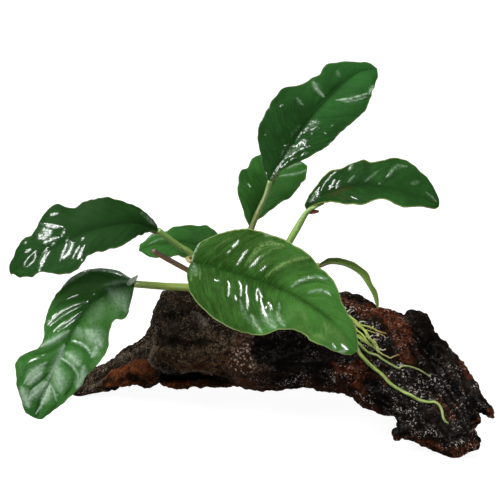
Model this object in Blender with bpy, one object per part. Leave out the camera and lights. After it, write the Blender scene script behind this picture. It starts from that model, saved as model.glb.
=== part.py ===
"""Anubias on driftwood: eight leaves on stems that rise from a rhizome, and roots that grip the wood.

Lengths are in millimetres until MM turns them into metres.
X runs along the wood, Y to the back, Z up.
"""

import math
from dataclasses import dataclass

import bmesh
import bpy
from mathutils import Vector, noise
from mathutils.bvhtree import BVHTree

MM = 0.001

# Middle of the object's box in the drawing, moved to X = Y = 0
CENTRE = Vector((0.6, 4.7, 0.0))

# Clear gap between neighbouring pieces, and how near two points count as one
GAP = 0.3
WELD = 0.001

# Leaf blades
BLADE_THICKNESS = 0.9
BLADE_ROWS = 14
BLADE_COLUMNS = 6
LEAST_HALF_WIDTH = 0.7
USUAL_HALF_WIDTH = 16.0
MARGIN_RIPPLE = 0.9
RIPPLES = 3.5
RIPPLE_START_RIGHT = 0.8
RIPPLE_START_LEFT = 2.6
ARCH = 0.07

# Stems
STEM_SIDES = 7
STEM_RINGS = 8

# Rhizome
RHIZOME_SIDES = 10
RHIZOME_RINGS = 20
RHIZOME_RADIUS = 5.2
RHIZOME_KNOB = 0.7
RHIZOME_KNOBS = 7
RHIZOME_ROOM = 0.45
RHIZOME_END = 0.62
RHIZOME_END_SWELL = 5.0

# Roots
ROOT_SIDES = 6
ROOT_LIFT_PASSES = 12
ROOT_STEP = 3.5
ROOT_TAPER = 0.45
FRONT_OF_ALL = -200.0

# Driftwood
LIMB_SIDES = 24
LIMB_ROWS_PER_SECTION = 3
LEAST_LIMB_RADIUS = 0.6
VOXEL = 1.3
SMOOTH_PASSES = 3
GRAIN_LENGTH = 20.0
GRAIN_WIDTH = 5.0
GRAIN_DEPTH = 1.3
LUMP_SIZE = 13.0
LUMP_DEPTH = 1.5
WOOD_TRIANGLES = 3900
GRAIN_DIRECTION = Vector((0.92, -0.39, 0.0))

# Curves and round strands
SAMPLES = 96
DIRECTION_REACH = 0.01
STRAND_SIDEWAYS = Vector((0.31, -0.95, 0.05))


@dataclass(frozen=True)
class Blade:
    """A leaf blade: its midrib, which way its right half points, and its half widths."""

    rib: tuple
    across: tuple
    right: tuple
    left: tuple
    fold: float
    rows: int = BLADE_ROWS


@dataclass(frozen=True)
class Tube:
    """A round strand through points, with a radius at each end and one between them."""

    points: tuple
    radii: tuple
    end_gap: float = 0.8


# Half widths are taken at eleven stations from stalk to tip, closer together towards both ends
BLADES = {
    "leaf_top": Blade(
        rib=((10, 20, 124), (20, 24, 139), (31, 28, 155), (43, 33, 167), (54, 38, 175), (64, 42, 176)),
        across=((0.9, -0.2, 0.3), (0.8, -0.3, -0.5), (0.7, -0.3, -0.6)),
        right=(1.5, 2.5, 5, 10.5, 15, 16.5, 18, 17.5, 14, 11, 5),
        left=(3.5, 8.5, 14.5, 19, 21, 19, 14.5, 12.5, 7.5, 4.5, 2),
        fold=10,
    ),
    "leaf_right": Blade(
        rib=(
            (28, 15, 111),
            (38, 12, 120),
            (50, 8, 125),
            (62, 4, 127),
            (75, 2, 125),
            (86, 2, 121),
            (94, 4, 116),
        ),
        across=((0.3, -0.8, -0.4), (0, -0.8, -0.45), (0, -0.8, -0.45)),
        right=(1, 2.5, 5.5, 9.5, 14.5, 15.5, 12.5, 13.5, 9, 6, 2.5),
        left=(3.5, 6, 8, 11, 13, 13, 17, 16, 12.5, 9, 5),
        fold=14,
    ),
    "leaf_left_upper": Blade(
        rib=(
            (-46, 2, 104),
            (-57, -4, 109),
            (-69, -8, 109),
            (-82, -10, 106),
            (-94, -12, 101),
            (-107, -13, 94),
            (-119, -12, 86),
        ),
        across=((0, 0.8, 0.45), (-0.1, 0.8, 0.5), (-0.2, 0.8, 0.4)),
        right=(3.5, 7, 10.5, 15, 17.5, 18, 21.5, 16.5, 14, 10, 5),
        left=(1.5, 3.5, 7.5, 12.5, 15, 16.5, 21, 16.5, 12, 7, 1.5),
        fold=10,
    ),
    "leaf_left_lower": Blade(
        rib=(
            (-58, -5, 78),
            (-67, -9, 78),
            (-77, -14, 73),
            (-84, -20, 65),
            (-91, -25, 53),
            (-97, -28, 41),
            (-102, -29, 28),
            (-106, -28, 16),
        ),
        across=((-0.2, 0.6, 0.8), (-0.8, 0.4, 0.35), (-0.9, 0.35, 0)),
        right=(3, 7, 12.5, 16.5, 17, 14.5, 13, 19, 15.5, 10.5, 7.5),
        left=(4, 12, 16.5, 16, 16.5, 20, 16.5, 15, 10.5, 6, 3),
        fold=8,
    ),
    "leaf_front": Blade(
        rib=(
            (-29, -14, 93),
            (-20, -20, 93),
            (-9, -27, 92),
            (3, -34, 91),
            (16, -41, 88),
            (27, -47, 84),
            (39, -52, 77),
            (47, -55, 69),
            (52, -56, 63),
        ),
        across=((-0.5, -0.5, -0.8), (0.1, -0.6, -0.8), (-0.4, -0.5, -0.7)),
        right=(8.5, 15.5, 20.5, 25, 27.5, 25.5, 19, 14.5, 13, 9.5, 5.5),
        left=(10.5, 14.5, 19.5, 23, 23.5, 22.5, 18.5, 14, 8, 5.5, 2),
        fold=8,
    ),
    "leaf_back": Blade(
        rib=((0, 34, 94), (4, 42, 101), (9, 52, 108), (15, 62, 115), (21, 70, 121)),
        across=((0.9, -0.2, -0.1), (0.9, -0.3, -0.2), (0.8, -0.4, -0.2)),
        right=(1, 2, 4, 7, 11, 14, 16, 16.5, 15, 12.5, 5),
        left=(1, 3.5, 6.5, 11, 14.5, 16, 15.5, 14.5, 12, 10, 6),
        fold=14,
    ),
    "leaf_left_back": Blade(
        rib=((-11, 31, 83), (-22, 36, 83), (-33, 40, 84), (-44, 41, 83), (-51, 40, 82), (-57, 38, 80)),
        across=((0, 0.9, 0.35), (0, 0.9, 0.4), (-0.1, 0.9, 0.4)),
        right=(1, 4.5, 7.5, 10.5, 12, 10.5, 8.5, 6.5, 4.5, 3, 1.5),
        left=(3.5, 6, 8.5, 11, 13, 13.5, 13.5, 12.5, 11, 7.5, 3),
        fold=12,
    ),
    "leaf_young": Blade(
        rib=(
            (35, 20, 79.5),
            (40.5, 18, 81),
            (48, 14, 80.5),
            (55, 10, 77),
            (59, 7, 71.5),
            (61.5, 5, 67),
            (64, 3.5, 61),
        ),
        across=((0.1, -0.94, 0.34), (0.1, -0.94, 0.34), (0.1, -0.94, 0.34)),
        right=(1, 2, 3.5, 5, 6, 6.5, 6, 5.5, 4.5, 3, 1.5),
        left=(1, 2, 3.5, 5, 6, 6.5, 6, 5.5, 4.5, 3, 1.5),
        fold=16,
        rows=10,
    ),
}

# Each stem starts inside the rhizome, which then trims it, and ends just short of its blade
STEMS = {
    "stem_top": Tube(
        ((-2, 16, 70), (-1, 17, 91), (1, 18, 100), (4, 18, 108), (8, 19, 117), (10, 20, 124)), (1.9, 1.7, 1.5)
    ),
    "stem_right": Tube(
        ((12.5, 13, 69), (16, 13, 85.5), (20.5, 14, 94.5), (24, 14, 100), (28, 15, 111)), (1.9, 1.6, 1.9)
    ),
    "stem_left_upper": Tube(
        ((-14, 17, 70), (-21, 12, 79), (-30.5, 8, 90), (-36, 6, 94.5), (-46, 2, 104)), (1.9, 1.5, 1.5)
    ),
    "stem_left_lower": Tube(
        ((-22, 18, 67), (-25.5, 13, 68), (-31.5, 8, 71), (-43, 2, 74), (-58, -5, 78)), (1.9, 1.7, 1.6)
    ),
    "stem_front": Tube(
        ((-7, 17, 71), (-12, 8, 80), (-20, 2, 88), (-27, -5, 92), (-31, -10.5, 93.5), (-29, -14, 93)),
        (2.1, 1.8, 1.5),
        1.6,
    ),
    "stem_back": Tube(((3, 17, 70), (4, 25, 77), (2, 30, 86), (0, 34, 94)), (1.7, 1.5, 1.3)),
    "stem_left_back": Tube(((-8, 18, 70), (-10, 25, 74), (-11, 28, 79), (-11, 31, 83)), (1.5, 1.4, 1.2), 1.7),
    "stem_young": Tube(((24, 11, 68), (28, 14, 73), (31, 17, 77), (35, 20, 79.5)), (1.6, 1.4, 1.2), 0.9),
    "dried_bract": Tube(((29.6, 14.1, 109.1), (32, 13.6, 109.5), (35.5, 13, 110.5)), (0.4, 0.65, 0.4)),
    "stem_cut": Tube(
        ((-18, 18, 69), (-23, 14, 72.5), (-32, 10, 80), (-41, 7, 86.5), (-49, 4, 92.5)), (1.5, 1.3, 1.3)
    ),
}

RHIZOME = (
    (-25, 20, 69),
    (-12, 17, 70.5),
    (0, 16, 70.5),
    (12, 14, 70),
    (23, 11, 68.5),
    (33, 4, 65),
    (40, -6, 57),
    (43, -12, 50),
)

# Roots as seen from the front, X and Z: each is laid on the wood's face by casting from the front
ROOTS = {
    "root_long": (
        (
            (43, 53),
            (47.5, 52),
            (50, 50.5),
            (54, 46.5),
            (57, 42.5),
            (60, 39.5),
            (66, 35.5),
            (69.5, 32.5),
            (72.5, 30.5),
            (76.5, 29.5),
            (80.5, 28.5),
            (84, 26.5),
            (88.5, 25.5),
            (92, 26),
            (94.5, 24.5),
            (96, 19.5),
            (98.5, 17.5),
        ),
        1.3,
    ),
    "root_middle": (
        (
            (42, 57),
            (46.5, 56.5),
            (50, 54.5),
            (53, 52),
            (57, 49),
            (59.5, 46),
            (62.5, 44.5),
            (68, 41),
            (74, 39),
            (76, 40.5),
            (79.5, 40),
            (84, 38.5),
            (90, 35),
        ),
        0.8,
    ),
    "root_curled": (
        (
            (41, 60.5),
            (47.5, 60),
            (51.5, 58),
            (55.5, 55.5),
            (57.5, 52.5),
            (60.5, 50.5),
            (63, 48),
            (66.5, 44.5),
            (71, 43),
            (74, 44),
        ),
        0.9,
    ),
    "root_upper": (
        ((38, 64), (43, 65), (47.5, 63.5), (51, 61), (54.5, 58.5), (58.5, 56.5), (62.5, 55), (68.5, 52)),
        0.7,
    ),
}

# Driftwood cross-sections at constant X: middle X, Y and Z, half depth, half height, backward lean in degrees
MAIN_LIMB = (
    (-94, 40, 0, 4, 3, 0),
    (-90, 40, 2, 7, 3.5, 0),
    (-84, 40, 5, 9, 4.5, 0),
    (-76, 38, 10.5, 12, 5, 0),
    (-68, 36, 15, 14, 6, 0),
    (-60, 33, 20, 16, 9, 0),
    (-52, 30, 28, 18, 12, 0),
    (-47, 28, 36, 20, 18, 0),
    (-42, 27, 40, 22, 22, 0),
    (-31, 24, 42, 24, 21, 0),
    (-21, 22, 42, 24, 21, 0),
    (-11, 20, 41, 21, 22, 0),
    (-3, 18, 39, 24, 25, 5),
    (10, 15, 40, 24, 25, 10),
    (20, 13, 41, 24, 25, 15),
    (31, 10, 42, 23, 25, 20),
    (41, 8, 42, 22, 25, 25),
    (51, 5, 41, 20, 27, 32),
    (61, 1, 37, 18, 28, 38),
    (70, -4, 34, 16, 28, 42),
    (78, -8, 32, 15, 30, 45),
    (86, -12, 27, 14, 33, 48),
    (92, -18, 22, 13, 30, 50),
    (98, -24, 18, 12, 25, 52),
    (104, -30, 15, 10, 19, 52),
    (109, -33, 14, 8, 12, 52),
    (112, -34, 14, 5, 7, 52),
)

# Smaller limbs grown into the main one: middle X, Y and Z, half depth, half height, lean
SIDE_LIMBS = {
    "outer strand": (
        (85, 9, 47, 5, 5, 0),
        (93, 4, 42, 5, 5, 0),
        (100, -3, 37, 5, 5, 0),
        (106, -9, 31, 5, 5, 0),
        (111, -15, 26, 4, 5, 0),
        (115, -20, 21, 4, 4, 0),
        (119, -25, 17, 3.5, 4, 0),
        (121.5, -28, 14.5, 2.5, 3, 0),
    ),
    "strand root": ((90, -4, 34, 8, 9, 0), (98, -12, 26, 8, 9, 0), (106, -20, 20, 6, 7, 0), (112, -26, 17, 4, 4, 0)),
    "inner strand": (
        (94, -14, 33, 3, 3, 0),
        (99, -19, 29, 4, 4, 0),
        (105, -24, 24, 4, 4, 0),
        (110, -28, 20, 4, 4, 0),
        (113, -31, 17, 3, 4, 0),
        (116, -33, 15, 2, 2, 0),
    ),
    "lower rail": (
        (-91, 39, 1, 4, 3, 0),
        (-76, 38, 7, 8, 4, 0),
        (-63, 34, 12, 9, 4, 0),
        (-52, 31, 13, 9, 4, 0),
        (-47, 30, 16, 7, 3, 0),
        (-44, 27, 14, 8, 2.5, 0),
        (-34, 26, 13, 9, 3, 0),
        (-21, 24, 14, 9, 2.5, 0),
        (-9, 21, 15, 9, 2.5, 0),
        (5, 18, 17, 9, 3, 0),
    ),
    "web": ((-54, 36, 20, 8, 7, 0), (-40, 34, 20, 8, 7, 0), (-20, 30, 20, 8, 6, 0), (0, 26, 22, 8, 6, 0)),
    "spike": ((-44, 22, 44, 4, 4, 0), (-53, 24, 34, 3, 3, 0), (-59, 26, 31, 2, 2, 0), (-66, 27, 28, 1, 1, 0)),
    "hump": ((76, 4, 50, 3, 3, 0), (80, 3, 52, 8, 7, 0), (87, 3, 51, 8, 8, 0), (93, 3, 47, 4, 5, 0)),
    "corner": (
        (94, -36, 8, 6, 7, 0),
        (101, -39, 6, 8, 8, 0),
        (107, -38, 7, 8, 7, 0),
        (113, -38, 7, 5, 4.5, 0),
        (116, -37, 7, 2, 2, 0),
    ),
    "toe": ((72, -20, 11, 3, 4, 0), (76, -23, 10, 7, 8, 0), (82, -27, 9.5, 9, 8, 0), (89, -30, 8, 6, 6, 0)),
    "rear foot": (
        (60, 6, 34, 6, 10, 0),
        (66, 9, 27, 9, 13, 0),
        (73, 14, 17, 10, 14, 0),
        (80, 20, 9, 9, 11, 0),
        (87, 25, 5, 7.5, 8, 0),
        (93, 28, 3.5, 5.5, 6, 0),
        (99, 31, 3, 4, 4.5, 0),
        (103, 32, 3, 2, 2, 0),
    ),
}

# Colour and roughness of each kind of piece
PIECES = {
    "wood": ((0.045, 0.028, 0.02), 0.6),
    "blade": ((0.02, 0.13, 0.03), 0.22),
    "young": ((0.1, 0.3, 0.04), 0.25),
    "stem": ((0.2, 0.38, 0.06), 0.35),
    "old_stem": ((0.3, 0.14, 0.04), 0.5),
    "rhizome": ((0.12, 0.2, 0.04), 0.45),
    "root": ((0.42, 0.52, 0.1), 0.45),
    "bract": ((0.16, 0.03, 0.02), 0.55),
}

# Pieces that differ from the other stems and leaves
KINDS = {"leaf_young": "young", "stem_cut": "old_stem", "dried_bract": "bract"}


def spline(values, position):
    """The value, at a position counted in steps, of a smooth curve through evenly numbered values."""
    index = min(int(position), len(values) - 2)
    part = position - index
    first, second = values[index], values[index + 1]
    before = values[index - 1] if index > 0 else 2 * first - second
    after = values[index + 2] if index + 2 < len(values) else 2 * second - first
    bend = 2 * before - 5 * first + 4 * second - after
    twist = 3 * first - before - 3 * second + after
    return 0.5 * (2 * first + (second - before) * part + bend * part**2 + twist * part**3)


class Path:
    """A smooth curve through points, measured by the fraction of its length."""

    def __init__(self, points):
        vectors = [Vector(point) for point in points]
        steps = len(vectors) - 1
        self.samples = [spline(vectors, i * steps / SAMPLES) for i in range(SAMPLES + 1)]
        self.lengths = [0.0]
        for before, after in zip(self.samples, self.samples[1:]):
            self.lengths.append(self.lengths[-1] + (after - before).length)
        self.length = self.lengths[-1]

    def at(self, fraction):
        """The point at this fraction of the length."""
        wanted = min(max(fraction, 0.0), 1.0) * self.length
        index = next(i for i in range(1, SAMPLES + 1) if self.lengths[i] >= wanted - 1e-9)
        step = self.lengths[index] - self.lengths[index - 1]
        part = (wanted - self.lengths[index - 1]) / step
        return self.samples[index - 1].lerp(self.samples[index], part)

    def direction(self, fraction):
        """The unit direction of travel at this fraction of the length."""
        return (self.at(fraction + DIRECTION_REACH) - self.at(fraction - DIRECTION_REACH)).normalized()


def clear_scene():
    """Removes every object of the startup scene."""
    for thing in list(bpy.data.objects):
        bpy.data.objects.remove(thing, do_unlink=True)


def material(name, colour, roughness):
    """A plain material with one colour and one roughness."""
    made = bpy.data.materials.new(name)
    made.use_nodes = True
    shader = made.node_tree.nodes["Principled BSDF"]
    shader.inputs["Base Color"].default_value = (*colour, 1.0)
    shader.inputs["Roughness"].default_value = roughness
    shader.inputs["Metallic"].default_value = 0.0
    return made


def face_outwards(bm):
    """Turns every face of a closed mesh to the outside."""
    bmesh.ops.recalc_face_normals(bm, faces=bm.faces)
    if bm.calc_volume(signed=True) < 0:
        bmesh.ops.reverse_faces(bm, faces=bm.faces)


def add_object(name, bm, kind):
    """Turns a mesh drawn in millimetres into a smooth named object in metres."""
    face_outwards(bm)
    bmesh.ops.translate(bm, verts=bm.verts, vec=-CENTRE)
    bmesh.ops.scale(bm, verts=bm.verts, vec=(MM, MM, MM))
    mesh = bpy.data.meshes.new(name)
    bm.to_mesh(mesh)
    bm.free()
    mesh.shade_smooth()
    made = bpy.data.objects.new(name, mesh)
    bpy.context.scene.collection.objects.link(made)
    if kind:
        mesh.materials.append(material(name, *PIECES[kind]))
    return made


def hide(thing):
    """Marks an object as a cutter that is no part of the plant."""
    thing.hide_render = True
    thing.display_type = "WIRE"


def settle(thing):
    """Replaces an object's mesh with what its modifiers make of it."""
    graph = bpy.context.evaluated_depsgraph_get()
    mesh = bpy.data.meshes.new_from_object(thing.evaluated_get(graph))
    thing.modifiers.clear()
    thing.data = mesh


def cut_away(thing, cutter):
    """Removes the cutter's shape from an object for good."""
    boolean = thing.modifiers.new(cutter.name, "BOOLEAN")
    boolean.object = cutter
    boolean.operation = "DIFFERENCE"
    boolean.solver = "EXACT"
    settle(thing)


def across_at(blade, fraction, tangent):
    """Unit direction from the midrib to the right-hand margin."""
    first, middle, last = (Vector(way).normalized() for way in blade.across)
    if fraction < 0.5:
        way = first.lerp(middle, 2 * fraction)
    else:
        way = middle.lerp(last, 2 * fraction - 1)
    return (way - tangent * way.dot(tangent)).normalized()


def blade_point(blade, rib, station, side):
    """Point of a blade at a station from 0 at the stalk to 1 at the tip, and a side from -1 to 1."""
    fraction = (1 - math.cos(math.pi * station)) / 2
    tangent = rib.direction(fraction)
    across = across_at(blade, fraction, tangent)
    normal = across.cross(tangent)
    widths = (0.0, *(blade.right if side > 0 else blade.left), 0.0)
    half = max(spline(widths, station * (len(widths) - 1)), LEAST_HALF_WIDTH)
    out = abs(side) * half
    raised = out * math.sin(math.radians(blade.fold))
    arched = ARCH * half * math.sin(math.pi * abs(side))
    phase = 2 * math.pi * RIPPLES * fraction + (RIPPLE_START_RIGHT if side > 0 else RIPPLE_START_LEFT)
    strength = math.sin(math.pi * fraction) * half / USUAL_HALF_WIDTH
    rippled = MARGIN_RIPPLE * abs(side) ** 3 * math.sin(phase) * strength
    flat = math.copysign(out * math.cos(math.radians(blade.fold)), side)
    return rib.at(fraction) + across * flat + normal * (raised + arched + rippled)


def make_blade(name, blade):
    """A thin closed leaf blade."""
    rib = Path(blade.rib)
    bm = bmesh.new()
    bmesh.ops.create_grid(bm, x_segments=blade.rows, y_segments=BLADE_COLUMNS, size=1.0)
    for vert in bm.verts:
        vert.co = blade_point(blade, rib, (vert.co.x + 1) / 2, vert.co.y)
    made = add_object(name, bm, KINDS.get(name, "blade"))
    thicken = made.modifiers.new("thickness", "SOLIDIFY")
    thicken.thickness = BLADE_THICKNESS * MM
    thicken.offset = 0.0
    return made


def sweep(bm, path, radius_at, rings, sides, overhang=0.0):
    """Adds a round closed strand along a path, which it passes at both ends by the overhang."""
    made = bmesh.ops.create_grid(bm, x_segments=rings - 1, y_segments=sides, size=1.0)
    for vert in made["verts"]:
        fraction = (vert.co.x + 1) / 2
        angle = math.pi * (vert.co.y + 1)
        tangent = path.direction(fraction)
        side = tangent.cross(STRAND_SIDEWAYS).normalized()
        up = side.cross(tangent)
        radius = radius_at(fraction, angle)
        middle = path.at(fraction) + tangent * overhang * vert.co.x
        vert.co = middle + (side * math.cos(angle) + up * math.sin(angle)) * radius
    bmesh.ops.remove_doubles(bm, verts=made["verts"], dist=WELD)
    bmesh.ops.holes_fill(bm, edges=[edge for edge in bm.edges if edge.is_boundary], sides=sides)


def make_stem(name, tube, rhizome_cutter):
    """A tapering stem whose foot is trimmed to the rhizome."""
    path = Path(tube.points)
    end = 1 - tube.end_gap / path.length
    bm = bmesh.new()

    def radius_at(fraction, angle):
        return spline(tube.radii, 2 * fraction)

    trimmed = Path([path.at(end * i / STEM_RINGS) for i in range(STEM_RINGS + 1)])
    sweep(bm, trimmed, radius_at, STEM_RINGS, STEM_SIDES)
    made = add_object(name, bm, KINDS.get(name, "stem"))
    cut_away(made, rhizome_cutter)
    made.data.shade_smooth()
    return made


def make_rhizome(name, kind, extra):
    """The knobbly creeping stem, grown by extra all round."""
    path = Path(RHIZOME)
    bm = bmesh.new()

    def radius_at(fraction, angle):
        knob = RHIZOME_KNOB * math.cos(2 * math.pi * RHIZOME_KNOBS * fraction)
        lump = RHIZOME_KNOB * math.sin(2 * angle + 19 * fraction)
        taper = min(1.0, RHIZOME_END + RHIZOME_END_SWELL * min(fraction, 1 - fraction))
        return (RHIZOME_RADIUS + knob + lump) * taper + extra

    sweep(bm, path, radius_at, RHIZOME_RINGS, RHIZOME_SIDES, extra)
    return add_object(name, bm, kind)


def add_limb(bm, sections):
    """Adds a closed limb through oval cross-sections, each upright or leaning to the back."""
    steps = len(sections) - 1
    rows = LIMB_ROWS_PER_SECTION * steps
    columns = [tuple(section[i] for section in sections) for i in range(6)]
    made = bmesh.ops.create_grid(bm, x_segments=rows, y_segments=LIMB_SIDES, size=1.0)
    for vert in made["verts"]:
        position = steps * (vert.co.x + 1) / 2
        angle = math.pi * (vert.co.y + 1)
        x, y, z, depth, height, lean = (spline(column, position) for column in columns)
        lean = math.radians(lean)
        along = max(depth, LEAST_LIMB_RADIUS) * math.cos(angle)
        rise = max(height, LEAST_LIMB_RADIUS) * math.sin(angle)
        vert.co = Vector((
            x,
            y + along * math.cos(lean) + rise * math.sin(lean),
            z - along * math.sin(lean) + rise * math.cos(lean),
        ))
    bmesh.ops.remove_doubles(bm, verts=made["verts"], dist=WELD)
    bmesh.ops.holes_fill(bm, edges=[edge for edge in bm.edges if edge.is_boundary], sides=LIMB_SIDES)


def weather(mesh):
    """Pushes the wood's surface in and out, in lumps and in furrows along the grain."""
    beside = Vector((-GRAIN_DIRECTION.y, GRAIN_DIRECTION.x, 0.0))
    normals = [vert.normal.copy() for vert in mesh.vertices]
    for vert, normal in zip(mesh.vertices, normals):
        place = vert.co / MM
        grain = Vector((
            place.dot(GRAIN_DIRECTION) / GRAIN_LENGTH,
            place.dot(beside) / GRAIN_WIDTH,
            place.z / GRAIN_WIDTH,
        ))
        depth = LUMP_DEPTH * noise.noise(place / LUMP_SIZE) + GRAIN_DEPTH * noise.noise(grain)
        vert.co += normal * depth * MM


def make_one_body(thing):
    """Joins everything that overlaps in an object into one skin."""
    remesh = thing.modifiers.new("one body", "REMESH")
    remesh.mode = "VOXEL"
    remesh.voxel_size = VOXEL * MM
    settle(thing)


def make_driftwood():
    """One weathered piece of wood, cut flat where it stands."""
    bm = bmesh.new()
    add_limb(bm, MAIN_LIMB)
    for sections in SIDE_LIMBS.values():
        add_limb(bm, sections)
    made = add_object("driftwood", bm, "wood")
    make_one_body(made)
    smooth = made.modifiers.new("smooth", "SMOOTH")
    smooth.iterations = SMOOTH_PASSES
    settle(made)
    weather(made.data)
    make_one_body(made)
    faces = sum(len(face.vertices) - 2 for face in made.data.polygons)
    decimate = made.modifiers.new("fewer faces", "DECIMATE")
    decimate.ratio = WOOD_TRIANGLES / faces
    settle(made)
    flatten_feet(made.data)
    return made


def flatten_feet(mesh):
    """Cuts the wood flat where it stands on the ground."""
    bm = bmesh.new()
    bm.from_mesh(mesh)
    geometry = bm.verts[:] + bm.edges[:] + bm.faces[:]
    ground = {"plane_co": (0, 0, 0), "plane_no": (0, 0, 1)}
    bmesh.ops.bisect_plane(bm, geom=geometry, dist=WELD * MM, clear_inner=True, **ground)
    bmesh.ops.holes_fill(bm, edges=[edge for edge in bm.edges if edge.is_boundary], sides=0)
    bmesh.ops.triangulate(bm, faces=bm.faces)
    face_outwards(bm)
    bm.to_mesh(mesh)
    bm.free()
    mesh.shade_smooth()


def surface_of(thing):
    """A search tree of an object's surface, in metres."""
    bm = bmesh.new()
    bm.from_mesh(thing.data)
    tree = BVHTree.FromBMesh(bm)
    bm.free()
    return tree


def lay_root(wood, points, radius):
    """Points that follow the wood's front face, clear of it by the gap."""
    need = (radius + GAP) * MM
    line = Path([(x, 0.0, z) for x, z in points])
    count = round(line.length / ROOT_STEP)
    laid = []
    for i in range(count + 1):
        place = line.at(i / count)
        start = Vector((place.x, FRONT_OF_ALL, place.z)) - CENTRE
        hit, normal, _, _ = wood.ray_cast(start * MM, Vector((0, 1, 0)))
        laid.append(hit + normal * need)
    for _ in range(ROOT_LIFT_PASSES):
        for i in range(count):
            for part in (0.0, 0.25, 0.5, 0.75, 1.0):
                place = laid[i].lerp(laid[i + 1], part)
                near, normal, _, _ = wood.find_nearest(place)
                short = need - (place - near).dot(normal)
                if short > 0:
                    laid[i] += normal * short * (1 - part)
                    laid[i + 1] += normal * short * part
    return [place / MM + CENTRE for place in laid]


def make_root(name, wood, rhizome_cutter, points, radius):
    """A thin tapering root that lies on the wood, trimmed to the rhizome."""
    laid = lay_root(wood, points, radius)
    bm = bmesh.new()

    def radius_at(fraction, angle):
        return radius * (1 - ROOT_TAPER * fraction)

    sweep(bm, Path(laid), radius_at, round(1.2 * len(laid)), ROOT_SIDES)
    made = add_object(name, bm, "root")
    cut_away(made, rhizome_cutter)
    made.data.shade_smooth()
    return made


def build():
    """Makes every piece of the plant and its wood."""
    clear_scene()
    wood = make_driftwood()
    make_rhizome("rhizome", "rhizome", 0.0)
    cutter = make_rhizome("rhizome_room", None, RHIZOME_ROOM)
    hide(cutter)
    face = surface_of(wood)
    cut_away(wood, cutter)
    for name, tube in STEMS.items():
        make_stem(name, tube, cutter)
    for name, blade in BLADES.items():
        make_blade(name, blade)
    for name, (points, radius) in ROOTS.items():
        make_root(name, face, cutter, points, radius)


build()
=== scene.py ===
"""Anubias on driftwood, dressed: leaves, stems, rhizome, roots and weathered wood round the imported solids.

Places are in millimetres on the drawing's axes: X along the wood, Y to the back, Z up. Strokes, marks and roots
are given by pixels of a picture 500 wide and 500 high, and lie where the lines of sight through them meet the plant.
"""

from __future__ import annotations

import logging
import math
from dataclasses import dataclass, field, replace
from enum import Enum
from typing import Callable, Sequence

import bmesh
import bpy
from bmesh.types import BMesh, BMVert
from bpy.types import ID, Material, Node, NodeSocket, NodeTree, Object
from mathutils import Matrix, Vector, noise
from mathutils.bvhtree import BVHTree
from mathutils.kdtree import KDTree


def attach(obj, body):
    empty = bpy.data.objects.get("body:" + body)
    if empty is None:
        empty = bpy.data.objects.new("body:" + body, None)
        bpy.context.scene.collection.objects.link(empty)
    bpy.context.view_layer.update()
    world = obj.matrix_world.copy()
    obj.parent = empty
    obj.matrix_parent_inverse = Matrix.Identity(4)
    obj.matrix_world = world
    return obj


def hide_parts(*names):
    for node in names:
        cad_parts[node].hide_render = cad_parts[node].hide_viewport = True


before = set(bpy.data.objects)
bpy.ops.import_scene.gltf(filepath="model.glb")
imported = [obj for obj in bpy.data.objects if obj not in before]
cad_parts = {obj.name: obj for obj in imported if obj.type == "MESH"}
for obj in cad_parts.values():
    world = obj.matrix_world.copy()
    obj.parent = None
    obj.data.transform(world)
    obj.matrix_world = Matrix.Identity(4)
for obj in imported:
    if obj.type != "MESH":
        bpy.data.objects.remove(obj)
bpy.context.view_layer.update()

LOG = logging.getLogger("anubias")

MM = 0.001
CENTRE = Vector((0.6, 4.7, 0.0))
BODY = "root"
PICTURE_SIDE = 500
PICTURE_STEP = 0.5
AIM_HEIGHT = 94.3
CAMERA_DISTANCE = 1400.0
CAMERA_TILT = 20.0
SENSOR = 36.0
PLANT_MIDDLE = Vector((0.0, 0.0, 0.09))
REACH = 2.5  # Half widths from its middle line at which a stroke or mark ends.
BOX_REACH = 3.0

Colour = tuple[float, float, float]
Point = tuple[float, float, float]
Pixel = tuple[float, float]


def smoothstep(low: float, high: float, value: float) -> float:
    """Eased share of the way from low to high.

    Args:
        low: Where the share is 0.
        high: Where the share is 1.
        value: The value to place between them.

    Returns:
        A number from 0 to 1.
    """
    part = min(max((value - low) / (high - low), 0.0), 1.0)
    return part * part * (3 - 2 * part)


def spline(values: Sequence[float] | Sequence[Vector], position: float) -> float | Vector:
    """Value of a smooth curve through evenly numbered values.

    Args:
        values: Numbers or vectors.
        position: Where to read the curve, counted in steps.

    Returns:
        A number or a vector, as the values are.
    """
    index = min(int(position), len(values) - 2)
    part = position - index
    first, second = values[index], values[index + 1]
    before = values[index - 1] if index > 0 else 2 * first - second
    after = values[index + 2] if index + 2 < len(values) else 2 * second - first
    bend = 2 * before - 5 * first + 4 * second - after
    twist = 3 * first - before - 3 * second + after
    return 0.5 * (2 * first + (second - before) * part + bend * part**2 + twist * part**3)


class Course:
    """A smooth curve through points, measured by the fraction of its length."""

    SAMPLES = 160

    def __init__(self, points: Sequence[Sequence[float]]) -> None:
        """Lays the curve through the points."""
        vectors = [Vector(point) for point in points]
        steps = len(vectors) - 1
        self.samples = [spline(vectors, i * steps / self.SAMPLES) for i in range(self.SAMPLES + 1)]
        self.lengths = [0.0]
        for before, after in zip(self.samples, self.samples[1:]):
            self.lengths.append(self.lengths[-1] + (after - before).length)
        self.length = self.lengths[-1]

    def at(self, fraction: float) -> Vector:
        """Point at this fraction of the length."""
        wanted = min(max(fraction, 0.0), 1.0) * self.length
        low, high = 0, self.SAMPLES
        while high - low > 1:
            middle = (low + high) // 2
            if self.lengths[middle] < wanted:
                low = middle
            else:
                high = middle
        step = self.lengths[high] - self.lengths[low]
        part = (wanted - self.lengths[low]) / step if step else 0.0
        return self.samples[low].lerp(self.samples[high], part)

    def direction(self, fraction: float) -> Vector:
        """Unit direction of travel at this fraction of the length."""
        reach = 0.01
        return (self.at(fraction + reach) - self.at(fraction - reach)).normalized()


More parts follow.
